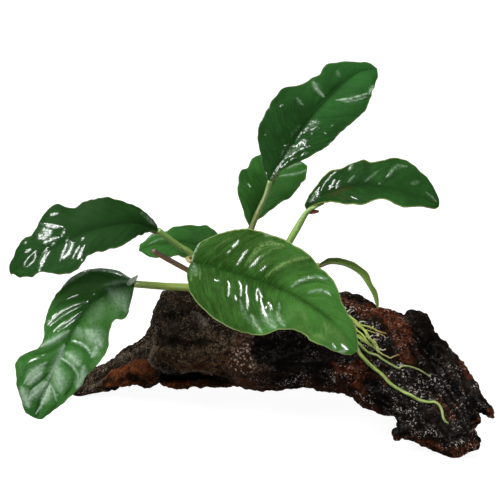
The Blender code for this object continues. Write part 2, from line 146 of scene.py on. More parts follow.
class Signal:
    """What a shader node puts out. It takes plain sums, and each sign adds a Math node."""

    def __init__(self, board: Board, socket: NodeSocket) -> None:
        """Holds the socket and the board that its node is on."""
        self.board = board
        self.socket = socket

    def __add__(self, other: Signal | float) -> Signal:
        """Sum."""
        return self.board.math("ADD", self, other)

    def __sub__(self, other: Signal | float) -> Signal:
        """Difference."""
        return self.board.math("SUBTRACT", self, other)

    def __rsub__(self, other: float) -> Signal:
        """Difference from a number."""
        return self.board.math("SUBTRACT", other, self)

    def __mul__(self, other: Signal | float) -> Signal:
        """Product."""
        return self.board.math("MULTIPLY", self, other)

    def __abs__(self) -> Signal:
        """Value without its sign."""
        return self.board.math("ABSOLUTE", self)

    __rmul__ = __mul__


class Board:
    """A node tree and the short ways to add to it."""

    DOT_CORE = 0.55

    def __init__(self, tree: NodeTree) -> None:
        """Takes the tree that the nodes go into."""
        self.tree = tree

    def add(self, kind: str, **settings: str) -> Node:
        """Adds a node.

        Args:
            kind: Blender's name for the node, after ShaderNode.
            **settings: Properties to set on it.

        Returns:
            The node.
        """
        node = self.tree.nodes.new("ShaderNode" + kind)
        for name, value in settings.items():
            setattr(node, name, value)
        return node

    def feed(self, socket: NodeSocket, value: Signal | float | Colour) -> None:
        """Links a socket or sets its number or colour."""
        if isinstance(value, Signal):
            self.tree.links.new(value.socket, socket)
        elif socket.type == "RGBA":
            socket.default_value = (*value, 1.0)
        else:
            socket.default_value = value

    def set(self, node: Node, **values: Signal | float | Colour) -> None:
        """Feeds a node's inputs, whose names have spaces for underscores."""
        for name, value in values.items():
            self.feed(node.inputs[name.replace("_", " ")], value)

    def out(self, node: Node, key: str | int = 0) -> Signal:
        """One of a node's outputs."""
        return Signal(self, node.outputs[key])

    def group(self, tree: NodeTree, **values: Signal | float | Colour) -> Node:
        """Places a node group and feeds its inputs."""
        node = self.add("Group")
        node.node_tree = tree
        self.set(node, **values)
        return node

    def math(self, operation: str, *values: Signal | float) -> Signal:
        """Result of a Math node."""
        node = self.add("Math", operation=operation)
        for socket, value in zip(node.inputs, values):
            self.feed(socket, value)
        return self.out(node)

    def ease(self, low: float, high: float, value: Signal) -> Signal:
        """Eased share of the way from low to high, which may be the lower number."""
        node = self.add("MapRange", interpolation_type="SMOOTHSTEP")
        start, end = sorted((low, high))
        flipped = low > high
        self.set(node, Value=value, From_Min=start, From_Max=end, To_Min=float(flipped), To_Max=float(not flipped))
        return self.out(node, "Result")

    def mix(self, share: Signal | float, first: Signal | Colour, second: Signal | Colour) -> Signal:
        """Colour between two colours."""
        node = self.add("Mix", data_type="RGBA")
        for index, value in ((0, share), (6, first), (7, second)):
            self.feed(node.inputs[index], value)
        return self.out(node, 2)

    def layered(self, colour: Signal | Colour, *coats: tuple[Signal, Signal | Colour]) -> Signal:
        """A colour with others laid over it in turn, each by its mask."""
        for mask, coat in coats:
            colour = self.mix(mask, colour, coat)
        return colour

    def noise(
        self, vector: Signal, scale: float, detail: float = 3.0, rough: float = 0.55, warp: float = 0.0
    ) -> Signal:
        """Value of a noise texture."""
        node = self.add("TexNoise")
        self.set(node, Vector=vector, Scale=scale, Detail=detail, Roughness=rough, Distortion=warp)
        return self.out(node, "Fac")

    def cells(self, vector: Signal, scale: float) -> Signal:
        """Distance from the nearest cell's middle in a Voronoi texture."""
        node = self.add("TexVoronoi")
        self.set(node, Vector=vector, Scale=scale)
        return self.out(node, "Distance")

    def dots(self, vector: Signal, scale: float, size: float, kept: float) -> Signal:
        """Dots of uneven strength in some cells of a Voronoi texture.

        Args:
            vector: Where the texture is read.
            scale: Cells per unit.
            size: Radius of a dot in cells.
            kept: Share of the cells that have a dot.

        Returns:
            A mask from 0 to 1.
        """
        node = self.add("TexVoronoi")
        self.set(node, Vector=vector, Scale=scale)
        luck = self.add("SeparateColor")
        self.set(luck, Color=self.out(node, "Color"))
        inside = self.ease(size, self.DOT_CORE * size, self.out(node, "Distance"))
        return inside * self.ease(1 - kept, 1.0, self.out(luck))

    def place(self) -> Signal:
        """Object coordinates, in metres."""
        return self.out(self.add("TexCoord"), "Object")

    def stretched(self, vector: Signal, scale: Point) -> Signal:
        """Coordinates stretched by a Mapping node."""
        node = self.add("Mapping")
        self.set(node, Vector=vector, Scale=scale)
        return self.out(node)

    def plane(self, first: Signal, second: Signal) -> Signal:
        """Coordinates made of two numbers."""
        node = self.add("CombineXYZ")
        self.set(node, X=first, Y=second)
        return self.out(node)

    def attribute(self, name: str, key: str = "Fac") -> Signal:
        """Number or vector that the mesh carries under this name."""
        return self.out(self.add("Attribute", attribute_name=name), key)


def new_group(name: str, inputs: dict[str, str], outputs: dict[str, str]) -> tuple[Board, dict[str, Signal], Node]:
    """Starts a shader node group.

    Args:
        name: The group's name.
        inputs: Socket kind of each input by name.
        outputs: Socket kind of each output by name.

    Returns:
        The group's board, its inputs by name and its output node.
    """
    tree = bpy.data.node_groups.new(name, "ShaderNodeTree")
    for side, sockets in (("INPUT", inputs), ("OUTPUT", outputs)):
        for label, kind in sockets.items():
            tree.interface.new_socket(name=label, in_out=side, socket_type="NodeSocket" + kind)
    start = tree.nodes.new("NodeGroupInput")
    board = Board(tree)
    return board, {label: board.out(start, label) for label in inputs}, tree.nodes.new("NodeGroupOutput")


def new_material(name: str) -> tuple[Material, Board, Node]:
    """Starts a material.

    Args:
        name: The material's name.

    Returns:
        The material, its board and its Principled shader.
    """
    made = bpy.data.materials.new(name)
    made.use_nodes = True
    return made, Board(made.node_tree), made.node_tree.nodes["Principled BSDF"]


def add_bump(board: Board, shader: Node, height: Signal, distance: float) -> None:
    """Bumps a shader's surface by a height from 0 to 1.

    Args:
        board: The material's board.
        shader: The shader that gets the bump.
        height: The height.
        distance: What a height of 1 stands for, in millimetres.
    """
    bump = board.add("Bump")
    board.set(bump, Strength=1.0, Distance=distance * MM, Height=height)
    board.set(shader, Normal=board.out(bump))


def waver(x: float, y: float, z: float) -> float:
    """Smooth noise at a place, from about -1 to 1."""
    return noise.noise(Vector((x, y, z)))


def new_object(name: str, data: ID) -> Object:
    """Object at the origin, linked to the scene."""
    thing = bpy.data.objects.new(name, data)
    bpy.context.scene.collection.objects.link(thing)
    return thing


def to_metres(bm: BMesh) -> None:
    """Moves a mesh from the drawing's millimetres to the frame's metres."""
    bmesh.ops.translate(bm, verts=bm.verts, vec=-CENTRE)
    bmesh.ops.scale(bm, verts=bm.verts, vec=(MM, MM, MM))


def finish_piece(name: str, bm: BMesh, materials: Sequence[Material]) -> Object:
    """Turns a mesh in metres into a smooth object at the origin.

    Args:
        name: The piece's name.
        bm: Its mesh, which is freed.
        materials: Its materials in slot order.

    Returns:
        The object.
    """
    mesh = bpy.data.meshes.new(name)
    bm.to_mesh(mesh)
    bm.free()
    mesh.shade_smooth()
    for made in materials:
        mesh.materials.append(made)
    return new_object(name, mesh)


def settle(piece: Object, slot: str, *nodes: str) -> Object:
    """Makes a piece ride on the body and lets it stand for its nodes.

    Args:
        piece: The piece.
        slot: A material slot name, which is not used.
        *nodes: The CAD nodes that the piece stands for.

    Returns:
        The piece.
    """
    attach(piece, BODY)
    if nodes:
        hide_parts(*nodes)
    count = len(piece.data.vertices)
    LOG.info("%s: %d vertices, stands for %s", piece.name, count, ", ".join(nodes) or "nothing")
    return piece


def sweep(
    bm: BMesh,
    course: Course,
    radius_at: Callable[[float, float], float],
    rings: int,
    sides: int,
    offset_at: Callable[[float], Vector] | None = None,
) -> list[BMVert]:
    """Adds a closed round strand along a course, with its place along and around it as attributes.

    Args:
        bm: The mesh that gets the strand.
        course: The middle line.
        radius_at: Radius by fraction of the length and angle.
        rings: Steps along the strand.
        sides: Steps around it.
        offset_at: Shift of the middle line by fraction of the length.

    Returns:
        The strand's vertices.
    """
    along = bm.verts.layers.float.get("along") or bm.verts.layers.float.new("along")
    around = bm.verts.layers.float.get("around") or bm.verts.layers.float.new("around")
    made = bmesh.ops.create_grid(bm, x_segments=rings, y_segments=sides, size=1.0)["verts"]
    frames: dict[int, tuple[Vector, Vector, Vector]] = {}
    for i in range(rings + 1):
        fraction = i / rings
        tangent = course.direction(fraction)
        side = tangent.cross(Vector((0.31, -0.95, 0.05))).normalized()
        middle = course.at(fraction) + (offset_at(fraction) if offset_at else Vector())
        frames[i] = (middle, side, side.cross(tangent))
    for vert in made:
        row = round((vert.co.x + 1) / 2 * rings)
        fraction = row / rings
        angle = math.pi * (vert.co.y + 1)
        middle, side, up = frames[row]
        vert[along] = fraction
        vert[around] = abs(vert.co.y)
        vert.co = middle + (side * math.cos(angle) + up * math.sin(angle)) * radius_at(fraction, angle)
    bmesh.ops.remove_doubles(bm, verts=made, dist=1e-4)
    kept = [vert for vert in made if vert.is_valid]
    edges = {edge for vert in kept for edge in vert.link_edges if edge.is_boundary}
    bmesh.ops.holes_fill(bm, edges=list(edges), sides=sides)
    faces = list({face for vert in kept for face in vert.link_faces})
    bmesh.ops.recalc_face_normals(bm, faces=faces)
    return kept


class Film(Enum):
    """What a stroke does to a leaf, named as the mesh attribute that carries it."""

    WET = "wet"
    # Painted light: lighter ridges and bands, painted toward the swelling colour along the stroke.
    LIGHT = "light"
    # Painted sheen and highlights: pale colour painted along the stroke.
    BLOOM = "bloom"
    SHADE = "shade"
    BROWN = "brown"


@dataclass(frozen=True)
class Stroke:
    """A streak or spot on a blade, along pixels of the picture.

    Its half width is in pixels and its height in millimetres, and its share is its strength.
    """

    film: Film
    pixels: Sequence[Pixel]
    width: float
    share: float
    height: float

    def box(self) -> tuple[float, float, float, float]:
        """Left, right, top and bottom of what the stroke can reach, in pixels."""
        reach = BOX_REACH * self.width
        columns = [pixel[0] for pixel in self.pixels]
        rows = [pixel[1] for pixel in self.pixels]
        return min(columns) - reach, max(columns) + reach, min(rows) - reach, max(rows) + reach

    def away(self, spot: Pixel) -> float:
        """Distance of a pixel from the stroke, counted in half widths, which taper to its ends.

        Args:
            spot: The pixel.

        Returns:
            0 on the stroke's middle line, 1 at its edge.
        """
        if len(self.pixels) == 1:
            return math.dist(self.pixels[0], spot) / self.width
        steps = [math.dist(a, b) for a, b in zip(self.pixels, self.pixels[1:])]
        whole, passed, nearest = sum(steps), 0.0, 9.0
        for step, first, second in zip(steps, self.pixels, self.pixels[1:]):
            run = (second[0] - first[0], second[1] - first[1])
            part = ((spot[0] - first[0]) * run[0] + (spot[1] - first[1]) * run[1]) / (step * step)
            part = min(max(part, 0.0), 1.0)
            gap = math.dist((first[0] + part * run[0], first[1] + part * run[1]), spot)
            taper = 0.3 + 0.7 * max(0.0, math.sin(math.pi * (passed + part * step) / whole)) ** 0.6
            nearest = min(nearest, gap / (self.width * taper))
            passed += step
        return nearest

    def weight(self, away: float) -> float:
        """Strength of the stroke this many half widths from its middle line."""
        if self.film is Film.WET:
            return self.share * (1 - smoothstep(0.5, 1.4, away))
        return self.share * (0.6 * math.exp(-2 * away * away) + 0.4 * (1 - smoothstep(0.0, 2.4, away)))


def pairs(*numbers: float) -> tuple[Pixel, ...]:
    """Pixels from their columns and rows in turn."""
    return tuple(zip(numbers[::2], numbers[1::2]))


def strokes(film: Film, table: Sequence[Sequence[float]]) -> tuple[Stroke, ...]:
    """Strokes of one film from rows of numbers.

    Args:
        film: What the strokes do.
        table: Rows of a half width, a share, a height, and then the pixels' columns and rows.

    Returns:
        The strokes.
    """
    return tuple(Stroke(film, pairs(*row[3:]), *row[:3]) for row in table)


def seen_at(place: Vector) -> Pixel:
    """Pixel of the picture where a point of the drawing shows."""
    tilt = math.radians(CAMERA_TILT)
    height = place.z - AIM_HEIGHT
    away = CAMERA_DISTANCE + place.y * math.cos(tilt) - height * math.sin(tilt)
    zoom = CAMERA_DISTANCE / away / PICTURE_STEP
    up = place.y * math.sin(tilt) + height * math.cos(tilt)
    return PICTURE_SIDE / 2 + place.x * zoom, PICTURE_SIDE / 2 - up * zoom


class LeafGroups:
    """The shader group that leaves share. Its inputs are named as the fields of a leaf's finish."""

    COLOURS = ("deep", "fresh", "swelling", "midrib", "margin", "bloom")
    SHARES = ("swelling share", "vein share", "margin share", "film ripple", "film gaps", "mottling")
    STAIN = (0.05, 0.045, 0.014)

    def __init__(self) -> None:
        """Builds the group."""
        self.tissue = self._tissue()

    def _tissue(self) -> NodeTree:
        """Green of a blade: deeper at the veins and midrib, brighter on the swellings with a painted sheen, pale at
        the margin with a partly painted rim highlight.

        Returns:
            The group.
        """
        board, source, end = new_group(
            "leaf tissue",
            dict.fromkeys(self.COLOURS, "Color") | dict.fromkeys(self.SHARES, "Float"),
            {"Color": "Color", "Roughness": "Float", "Height": "Float", "Wet": "Float"},
        )
        deep, fresh, swelling_sheen, midrib, margin, bloom = (source[name] for name in self.COLOURS)
        place = board.place()
        along, phase, from_rib = (board.attribute(name) for name in ("along", "phase", "from_rib"))
        gaps = board.ease(0.56, 0.46, board.noise(place, 900.0, 3.0, 0.6, 0.6))
        wet = board.attribute("wet") * (1.0 - gaps * source["film gaps"])
        cloud = board.noise(place, 45.0, 3.0, 0.6)
        fine = board.noise(place, 420.0, 3.0, 0.6)
        blend = along + 1.1 * (cloud - 0.5)
        lanes = board.noise(board.plane(9.0 * phase, 0.12 * from_rib), 1.0, 4.0, 0.7)
        mottled = 1.5 * board.noise(place, 700.0, 5.0, 0.8) + 0.5 * lanes
        mottled = (1.2 * board.ease(0.84, 1.12, mottled) - 0.6) * source["mottling"] + 0.85
        ragged = board.attribute("bulge") + 0.5 * (cloud - 0.5)
        # Painted sheen on the swellings, as a share of the swelling colour.
        swelling = board.ease(0.1, 0.9, ragged) * source["swelling share"]
        away = abs(board.math("FRACT", phase + 0.5) - 0.5)
        line = board.ease(0.2, 0.0, away) * board.ease(0.2, 1.5, from_rib)
        strands = abs(board.math("FRACT", 5.0 * phase) - 0.5)
        rib = board.ease(2.2, 0.2, from_rib) * board.ease(1.3, 0.2, along)
        # Pale margin, partly a painted rim highlight.
        edge = board.ease(0.55, 0.15, board.attribute("from_margin") - 0.5 * board.noise(place, 240.0, 2.0))
        speck = board.ease(0.16, 0.08, board.cells(place, 260.0))
        colour = board.layered(
            board.mix(board.ease(0.3, 1.0, blend), deep, fresh),
            # Painted sheen on the swellings and painted light along the light strokes.
            (board.attribute("light") * mottled + swelling, swelling_sheen),
            (line * source["vein share"], midrib),
            (0.8 * rib, midrib),
            (board.attribute("shade") * (0.8 * cloud + 0.5), midrib),
            (0.22 * board.ease(0.35, 0.75, board.noise(place, 160.0, 4.0, 0.65)), fresh),
            (0.3 * board.ease(0.3, 0.7, board.noise(place, 1000.0, 4.0, 0.75)), midrib),
            (0.42 * board.ease(0.45, 0.7, lanes), fresh),
            (board.attribute("brown") * mottled, self.STAIN),
            # Painted sheen along its strokes, and a painted highlight under every wet film.
            (0.22 * wet + board.attribute("bloom") * mottled, bloom),
            (edge * source["margin share"], margin),
            (0.25 * speck * board.ease(0.6, 0.72, board.noise(place, 70.0, 2.0)), fresh),
        )
        drops = board.noise(place, 420.0, 2.0, 0.5, 0.8) * wet * source["film ripple"]
        board.set(
            end,
            Color=colour,
            Roughness=0.16 * fine + 0.1 * cloud + 0.3 * (1.0 - wet) + 0.3 * rib + 0.04,
            Wet=wet,
            Height=0.25 * strands + 0.7 * fine - 0.2 * line + drops,
        )
        return board.tree


@dataclass(frozen=True)
class LeafFinish:
    """Colours and gloss of one leaf's two faces and rim."""

    deep: Colour = (0.009, 0.037, 0.006)
    fresh: Colour = (0.015, 0.062, 0.01)
    # Colour of the painted sheen on the swellings and along the painted light strokes.
    swelling: Colour = (0.035, 0.12, 0.025)
    midrib: Colour = (0.01, 0.032, 0.007)
    # Pale margin colour, partly a painted rim highlight.
    margin: Colour = (0.22, 0.3, 0.1)
    under: Colour = (0.11, 0.22, 0.06)
    # Colour of the painted sheen and highlights.
    bloom: Colour = (0.36, 0.5, 0.34)
    swelling_share: float = 0.1
    vein_share: float = 0.08
    margin_share: float = 0.2
    film_ripple: float = 2.0
    film_gaps: float = 0.6
    mottling: float = 1.0
    coat: float = 1.0
    film_ior: float = 2.1
    bump: float = 0.16

    def _tissue(self, board: Board, groups: LeafGroups) -> Node:
        """Places the shared group with this finish's colours and shares.

        Args:
            board: The material's board.
            groups: The shared shader group.

        Returns:
            The group's node.
        """
        names = [label.replace(" ", "_") for label in LeafGroups.COLOURS + LeafGroups.SHARES]
        return board.group(groups.tissue, **{name: getattr(self, name) for name in names})

    def upper(self, name: str, groups: LeafGroups) -> Material:
        """Wet, glossy upper face.

        Args:
            name: The leaf's name.
            groups: The shared shader group.

        Returns:
            The material.
        """
        made, board, shader = new_material(name + " upper face")
        tissue = self._tissue(board, groups)
        board.set(
            shader,
            Base_Color=board.out(tissue, "Color"),
            Roughness=board.out(tissue, "Roughness"),
            Coat_Weight=board.out(tissue, "Wet") * self.coat,
            Coat_Roughness=0.07,
            Coat_IOR=self.film_ior,
            Specular_IOR_Level=0.012,
        )
        add_bump(board, shader, board.out(tissue, "Height"), self.bump)
        return made

    def underside(self, name: str, groups: LeafGroups) -> Material:
        """Paler, duller lower face.

        Args:
            name: The leaf's name.
            groups: The shared shader group.

        Returns:
            The material.
        """
        made, board, shader = new_material(name + " lower face")
        dull = replace(
            self,
            deep=tuple(0.7 * part for part in self.under),
            fresh=self.under,
            swelling=self.under,
            midrib=tuple(1.3 * part for part in self.under),
            bloom=self.under,
            swelling_share=0.2,
            vein_share=0.5,
            margin_share=0.5,
            film_ripple=0.0,
            film_gaps=0.0,
            mottling=1.0,
        )
        tissue = dull._tissue(board, groups)
        board.set(shader, Base_Color=board.out(tissue, "Color"), Roughness=0.42)
        add_bump(board, shader, board.out(tissue, "Height"), self.bump)
        return made

    def rim(self, name: str) -> Material:
        """Thin pale line round the blade, partly a painted rim highlight.

        Args:
            name: The leaf's name.

        Returns:
            The material.
        """
        made, board, shader = new_material(name + " rim")
        worn = board.ease(0.5, 0.68, board.noise(board.place(), 130.0, 3.0))
        strength = min(1.0, 0.25 + self.margin_share)
        pale = tuple(strength * edge + (1 - strength) * green for edge, green in zip(self.margin, self.fresh))
        colour = board.mix(worn, pale, (0.12, 0.075, 0.03))
        board.set(shader, Base_Color=colour, Roughness=0.4, Specular_IOR_Level=0.2)
        return made


@dataclass
class Leaf:
    """A leaf blade: its midrib, which way its right half points, its half widths and its quilting."""

    name: str
    rib: Sequence[Point]
    across: tuple[Point, Point, Point]
    right: Sequence[float]
    left: Sequence[float]
    fold: float
    finish: LeafFinish = field(default_factory=LeafFinish)
    slot: str = "leaf"
    rows: int = 230
    columns: int = 90
    veins: float = 12.0
    quilt: float = 0.35
    wave: float = 0.5
    strokes: Sequence[Stroke] = ()
    ruffle: float = 0.9
    ruffles: float = 3.5
    thickness: float = 0.55
    nicks: float = 0.3
    least_half_width: float = 0.7
    arch: float = 0.07
    rib_radius: float = 1.25
    rib_rings: int = 60
    rib_sides: int = 14
    seed: float = 0.0

    def _half(self, station: float, side: float) -> float:
        """Half width at a station from 0 at the stalk to 1 at the tip."""
        widths = (0.0, *(self.right if side > 0 else self.left), 0.0)
        return max(spline(widths, station * (len(widths) - 1)), self.least_half_width)

    def _across(self, fraction: float, tangent: Vector) -> Vector:
        """Unit direction from the midrib to the right-hand margin."""
        first, middle, last = (Vector(way).normalized() for way in self.across)
        if fraction < 0.5:
            way = first.lerp(middle, 2 * fraction)
        else:
            way = middle.lerp(last, 2 * fraction - 1)
        return (way - tangent * way.dot(tangent)).normalized()

    def _phase(self, fraction: float, side: float) -> float:
        """Count of side veins passed at a place on the blade, whole on each vein."""
        out = abs(side)
        wander = waver(6 * fraction, 2.2 * side, self.seed) * 0.35
        return self.veins * (fraction - 0.12 * out - 0.1 * out * out) + wander + (0.35 if side > 0 else 0.0)

    def _swelling(self, fraction: float, side: float, phase: float) -> float:
        """Height of the blade between two side veins, from 0 to 1."""
        out = abs(side)
        between = 1 - abs(2 * (phase - math.floor(phase)) - 1) ** 2.0
        envelope = smoothstep(0.03, 0.3, out) * (1 - 0.45 * smoothstep(0.7, 1.0, out))
        ends = smoothstep(0.0, 0.14, fraction) * (1 - smoothstep(0.86, 1.0, fraction))
        vary = 0.75 + 0.6 * waver(4 * fraction, 1.7 * side, self.seed + 7)
        return between * envelope * ends * vary

    def _lift(self, fraction: float, side: float, half: float, swelling: float) -> float:
        """Height of a place on the blade over its midrib.

        Args:
            fraction: Place along the midrib.
            side: Place across the blade, -1 and 1 at the margins.
            half: Half width there.
            swelling: Swelling between the veins there.

        Returns:
            The height in millimetres.
        """
        out = abs(side) * half
        scale = half / 16
        middle = math.sin(math.pi * fraction)
        start = 0.8 if side > 0 else 2.6
        wave = math.sin(2 * math.pi * self.ruffles * fraction + start) * middle
        lift = out * math.sin(math.radians(self.fold)) + self.arch * half * math.sin(math.pi * abs(side))
        lift += self.ruffle * abs(side) ** 3 * wave * scale
        lift += self.quilt * min(1.3, 0.45 + 0.55 * scale) * swelling
        lift += 0.8 * abs(side) ** 4 * waver(9 * fraction, side, self.seed + 3) * middle
        swell = waver(5 * fraction, 1.3 * side, self.seed + 11)
        swell += 0.35 * waver(13 * fraction, 2.6 * side, self.seed + 17)
        lift += self.wave * swell * smoothstep(0.0, 0.5, abs(side)) * middle
        return lift - 0.5 * math.exp(-((out / 1.9) ** 2)) * (1 - fraction)

    def _painted(self, vert: BMVert, layers: dict, boxes: Sequence[tuple]) -> float:
        """Paints the strokes' films at a place on the blade.

        Args:
            vert: The blade's vertex.
            layers: The mesh's number layers by name.
            boxes: The strokes, each with the left, right, top and bottom of its reach.

        Returns:
            How far the strokes raise the place, in millimetres.
        """
        spot = seen_at(vert.co)
        ragged = 1 + 0.35 * waver(spot[0] / 2.5, spot[1] / 2.5, self.seed + 5)
        ragged += 0.35 * waver(spot[0] / 1.1, spot[1] / 1.1, self.seed + 9)
        raised = 0.0
        for stroke, left, right, top, bottom in boxes:
            if not (left < spot[0] < right and top < spot[1] < bottom):
                continue
            away = stroke.away(spot) * ragged
            if away <= REACH:
                raised += stroke.height * math.exp(-away * away)
                layer = layers[stroke.film.value]
                vert[layer] = max(vert[layer], stroke.weight(away))
        return raised

    def build(self, groups: LeafGroups) -> Object:
        """Makes the blade.

        Args:
            groups: The shared shader group.

        Returns:
            The blade's object.
        """
        course = Course(self.rib)
        bm = bmesh.new()
        keys = ("along", "phase", "bulge", "from_rib", "from_margin", *(film.value for film in Film))
        layers = {key: bm.verts.layers.float.new(key) for key in keys}
        thick = bm.verts.layers.deform.verify()
        made = bmesh.ops.create_grid(bm, x_segments=self.rows, y_segments=self.columns, size=1.0)["verts"]
        frames = []
        for i in range(self.rows + 1):
            station = i / self.rows
            fraction = (1 - math.cos(math.pi * station)) / 2
            tangent = course.direction(fraction)
            way = self._across(fraction, tangent)
            frames.append((station, fraction, course.at(fraction), way, way.cross(tangent)))
        boxes = [(stroke, *stroke.box()) for stroke in self.strokes]
        for vert in made:
            side = vert.co.y
            station, fraction, middle, way, normal = frames[round((vert.co.x + 1) / 2 * self.rows)]
            nick = waver(course.length * fraction / 3.2, math.copysign(1, side), self.seed + 21)
            half = max(self._half(station, side) + 1.6 * self.nicks * nick, self.least_half_width)
            out = abs(side) * half
            phase = self._phase(fraction, side)
            swelling = self._swelling(fraction, side, phase)
            flat = math.copysign(out * math.cos(math.radians(self.fold)), side)
            vert.co = middle + way * flat + normal * self._lift(fraction, side, half, swelling)
            vert.co += normal * self._painted(vert, layers, boxes)
            vert[layers["along"]] = fraction
            vert[layers["phase"]] = phase
            vert[layers["bulge"]] = swelling
            vert[layers["from_rib"]] = out
            vert[layers["from_margin"]] = min((1 - abs(side)) * half, 20 * station, 20 * (1 - station))
            vert[thick][0] = 1 - 0.5 * smoothstep(0.5, 1.0, abs(side))
        bmesh.ops.reverse_faces(bm, faces=bm.faces)
        to_metres(bm)
        faces = (self.finish.upper(self.name, groups), self.finish.underside(self.name, groups))
        piece = finish_piece(self.name + "_blade", bm, [*faces, self.finish.rim(self.name)])
        piece.vertex_groups.new(name="thickness")
        solidify = piece.modifiers.new("thickness", "SOLIDIFY")
        solidify.thickness = self.thickness * MM
        solidify.offset = 0.0
        solidify.vertex_group = "thickness"
        solidify.material_offset = 1
        solidify.material_offset_rim = 2
        return settle(piece, self.slot, self.name)

    def build_midrib(self, finish: StemFinish) -> Object:
        """Makes the ridge that the stem continues under the blade.

        Args:
            finish: The ridge's finish.

        Returns:
            The ridge's object.
        """
        course = Course(self.rib)
        bm = bmesh.new()

        def radius_at(fraction: float, angle: float) -> float:
            return self.rib_radius * (1 - fraction) ** 0.9 + 0.1

        def offset_at(fraction: float) -> Vector:
            tangent = course.direction(fraction)
            normal = self._across(fraction, tangent).cross(tangent)
            return normal * -(0.85 * radius_at(fraction, 0.0) + 0.5 * (1 - fraction))

        sweep(bm, course, radius_at, self.rib_rings, self.rib_sides, offset_at)
        to_metres(bm)
        piece = finish_piece(self.name + "_midrib", bm, [finish.material(self.name + " midrib")])
        return settle(piece, "stem")


@dataclass(frozen=True)
class StemFinish:
    """Colours of a stem from its foot to its top."""

    foot: Colour = (0.2, 0.12, 0.035)
    top: Colour = (0.16, 0.3, 0.05)
    foot_ends: float = 0.3
    rough: float = 0.32
    streak: float = 0.35
    belly: Colour | None = None
    cut: Colour | None = None
    coat: float = 0.3

    def material(self, name: str) -> Material:
        """Smooth skin with lengthwise streaks.

        Args:
            name: The material's name.

        Returns:
            The material.
        """
        made, board, shader = new_material(name)
        place = board.place()
        along = board.attribute("along")
        cloud = board.noise(place, 120.0, 3.0)
        shifted = along + 0.3 * (cloud - 0.5)
        colour = board.mix(board.ease(0.0, self.foot_ends, shifted), self.foot, self.top)
        lines = board.noise(board.plane(3.0 * along, 9.0 * board.attribute("around")), 2.0, 3.0, 0.6)
        light = tuple(min(1.0, 1.7 * part) for part in self.top)
        colour = board.mix(board.ease(0.45, 0.7, lines) * self.streak, colour, light)
        speck = board.ease(0.6, 0.72, board.noise(place, 700.0, 2.0))
        colour = board.mix(0.25 * speck, colour, self.foot)
        if self.belly:
            colour = board.mix(board.ease(0.62, 0.4, board.attribute("around")), colour, self.belly)
        if self.cut:
            colour = board.mix(board.ease(0.97, 0.995, along), colour, self.cut)
        board.set(shader, Base_Color=colour, Roughness=self.rough, Coat_Weight=self.coat, Coat_Roughness=0.15)
        add_bump(board, shader, lines, 0.12)
        return made


@dataclass
class Stem:
    """A stem: its middle line, its radii and its finish."""

    name: str
    points: Sequence[Point]
    radii: Sequence[float]
    finish: StemFinish = field(default_factory=StemFinish)
    slot: str = "stem"
    slimness: float = 0.84
    stands_for_node: bool = True
    rings: int = 64
    sides: int = 20

    def build(self) -> Object:
        """Makes the stem, with a shallow groove along it."""
        course = Course(self.points)
        bm = bmesh.new()

        def radius_at(fraction: float, angle: float) -> float:
            base = self.slimness * spline(self.radii, (len(self.radii) - 1) * fraction)
            groove = 0.08 * math.cos(angle) + 0.04 * math.cos(3 * angle + 4 * fraction)
            uneven = 0.06 * waver(9 * fraction, math.cos(angle), math.sin(angle))
            return base * (1 + groove + uneven)

        sweep(bm, course, radius_at, self.rings, self.sides)
        to_metres(bm)
        piece = finish_piece(self.name + "_skin", bm, [self.finish.material(self.name)])
        return settle(piece, self.slot, *([self.name] if self.stands_for_node else []))


def sight(pixel: Pixel) -> tuple[Vector, Vector]:
    """Line of sight through a pixel of the picture.

    Args:
        pixel: Column and row.

    Returns:
        The camera's place in metres and the line's unit direction.
    """
    tilt = math.radians(CAMERA_TILT)
    forward = Vector((0.0, math.cos(tilt), -math.sin(tilt)))
    upward = Vector((0.0, math.sin(tilt), math.cos(tilt)))
    eye = Vector((0.0, 0.0, AIM_HEIGHT)) - CENTRE - forward * CAMERA_DISTANCE
    half = PICTURE_SIDE / 2
    aim = forward * CAMERA_DISTANCE
    aim += Vector((1.0, 0.0, 0.0)) * (pixel[0] - half) * PICTURE_STEP
    aim += upward * (half - pixel[1]) * PICTURE_STEP
    return eye * MM, aim.normalized()


class Tint(Enum):
    """What a mark paints on the wood, named as the mesh attribute that carries it."""

    RUST = "rust"
    RED = "red"
    # Pale grit, and a painted highlight along the lip's edge.
    PALE_AND_HIGHLIGHT = "pale"
    # Near-black wood, and painted shade in the grooves and hollows and under the lip.
    DARK = "dark"
    BROWN = "brown"
    PEBBLE = "pebble"
    # Clears the painted glints, and the other tints, from where it lies.
    SMOOTH = "smooth"


@dataclass(frozen=True)
class Mark:
    """A stroke or patch on the wood, which paints a tint there or only raises or lowers it.

    Its half width and height are in millimetres, and its share is its strength.
    """

    tint: Tint | None
    pixels: Sequence[Pixel]
    width: float
    height: float
    share: float

    def places(self, surface: BVHTree) -> list[Vector]:
        """Points of the stroke on the wood.

        Args:
            surface: The wood's surface in metres.

        Returns:
            Points at most a millimetre or so apart.
        """
        found = []
        runs = list(zip(self.pixels, self.pixels[1:])) or [(self.pixels[0], self.pixels[0])]
        for first, second in runs:
            steps = max(1, round(math.dist(first, second) / 2))
            for i in range(steps + 1):
                part = i / steps
                pixel = (first[0] + (second[0] - first[0]) * part, first[1] + (second[1] - first[1]) * part)
                hit = surface.ray_cast(*sight(pixel))[0]
                if hit is not None:
                    found.append(hit)
        return found


def marks(tint: Tint | None, table: Sequence[Sequence[float]]) -> tuple[Mark, ...]:
    """Marks of one tint from rows of numbers.

    Args:
        tint: What the marks paint.
        table: Rows of a half width, a height, a share, and then the pixels' columns and rows.

    Returns:
        The marks.
    """
    return tuple(Mark(tint, pairs(*row[3:]), *row[:3]) for row in table)


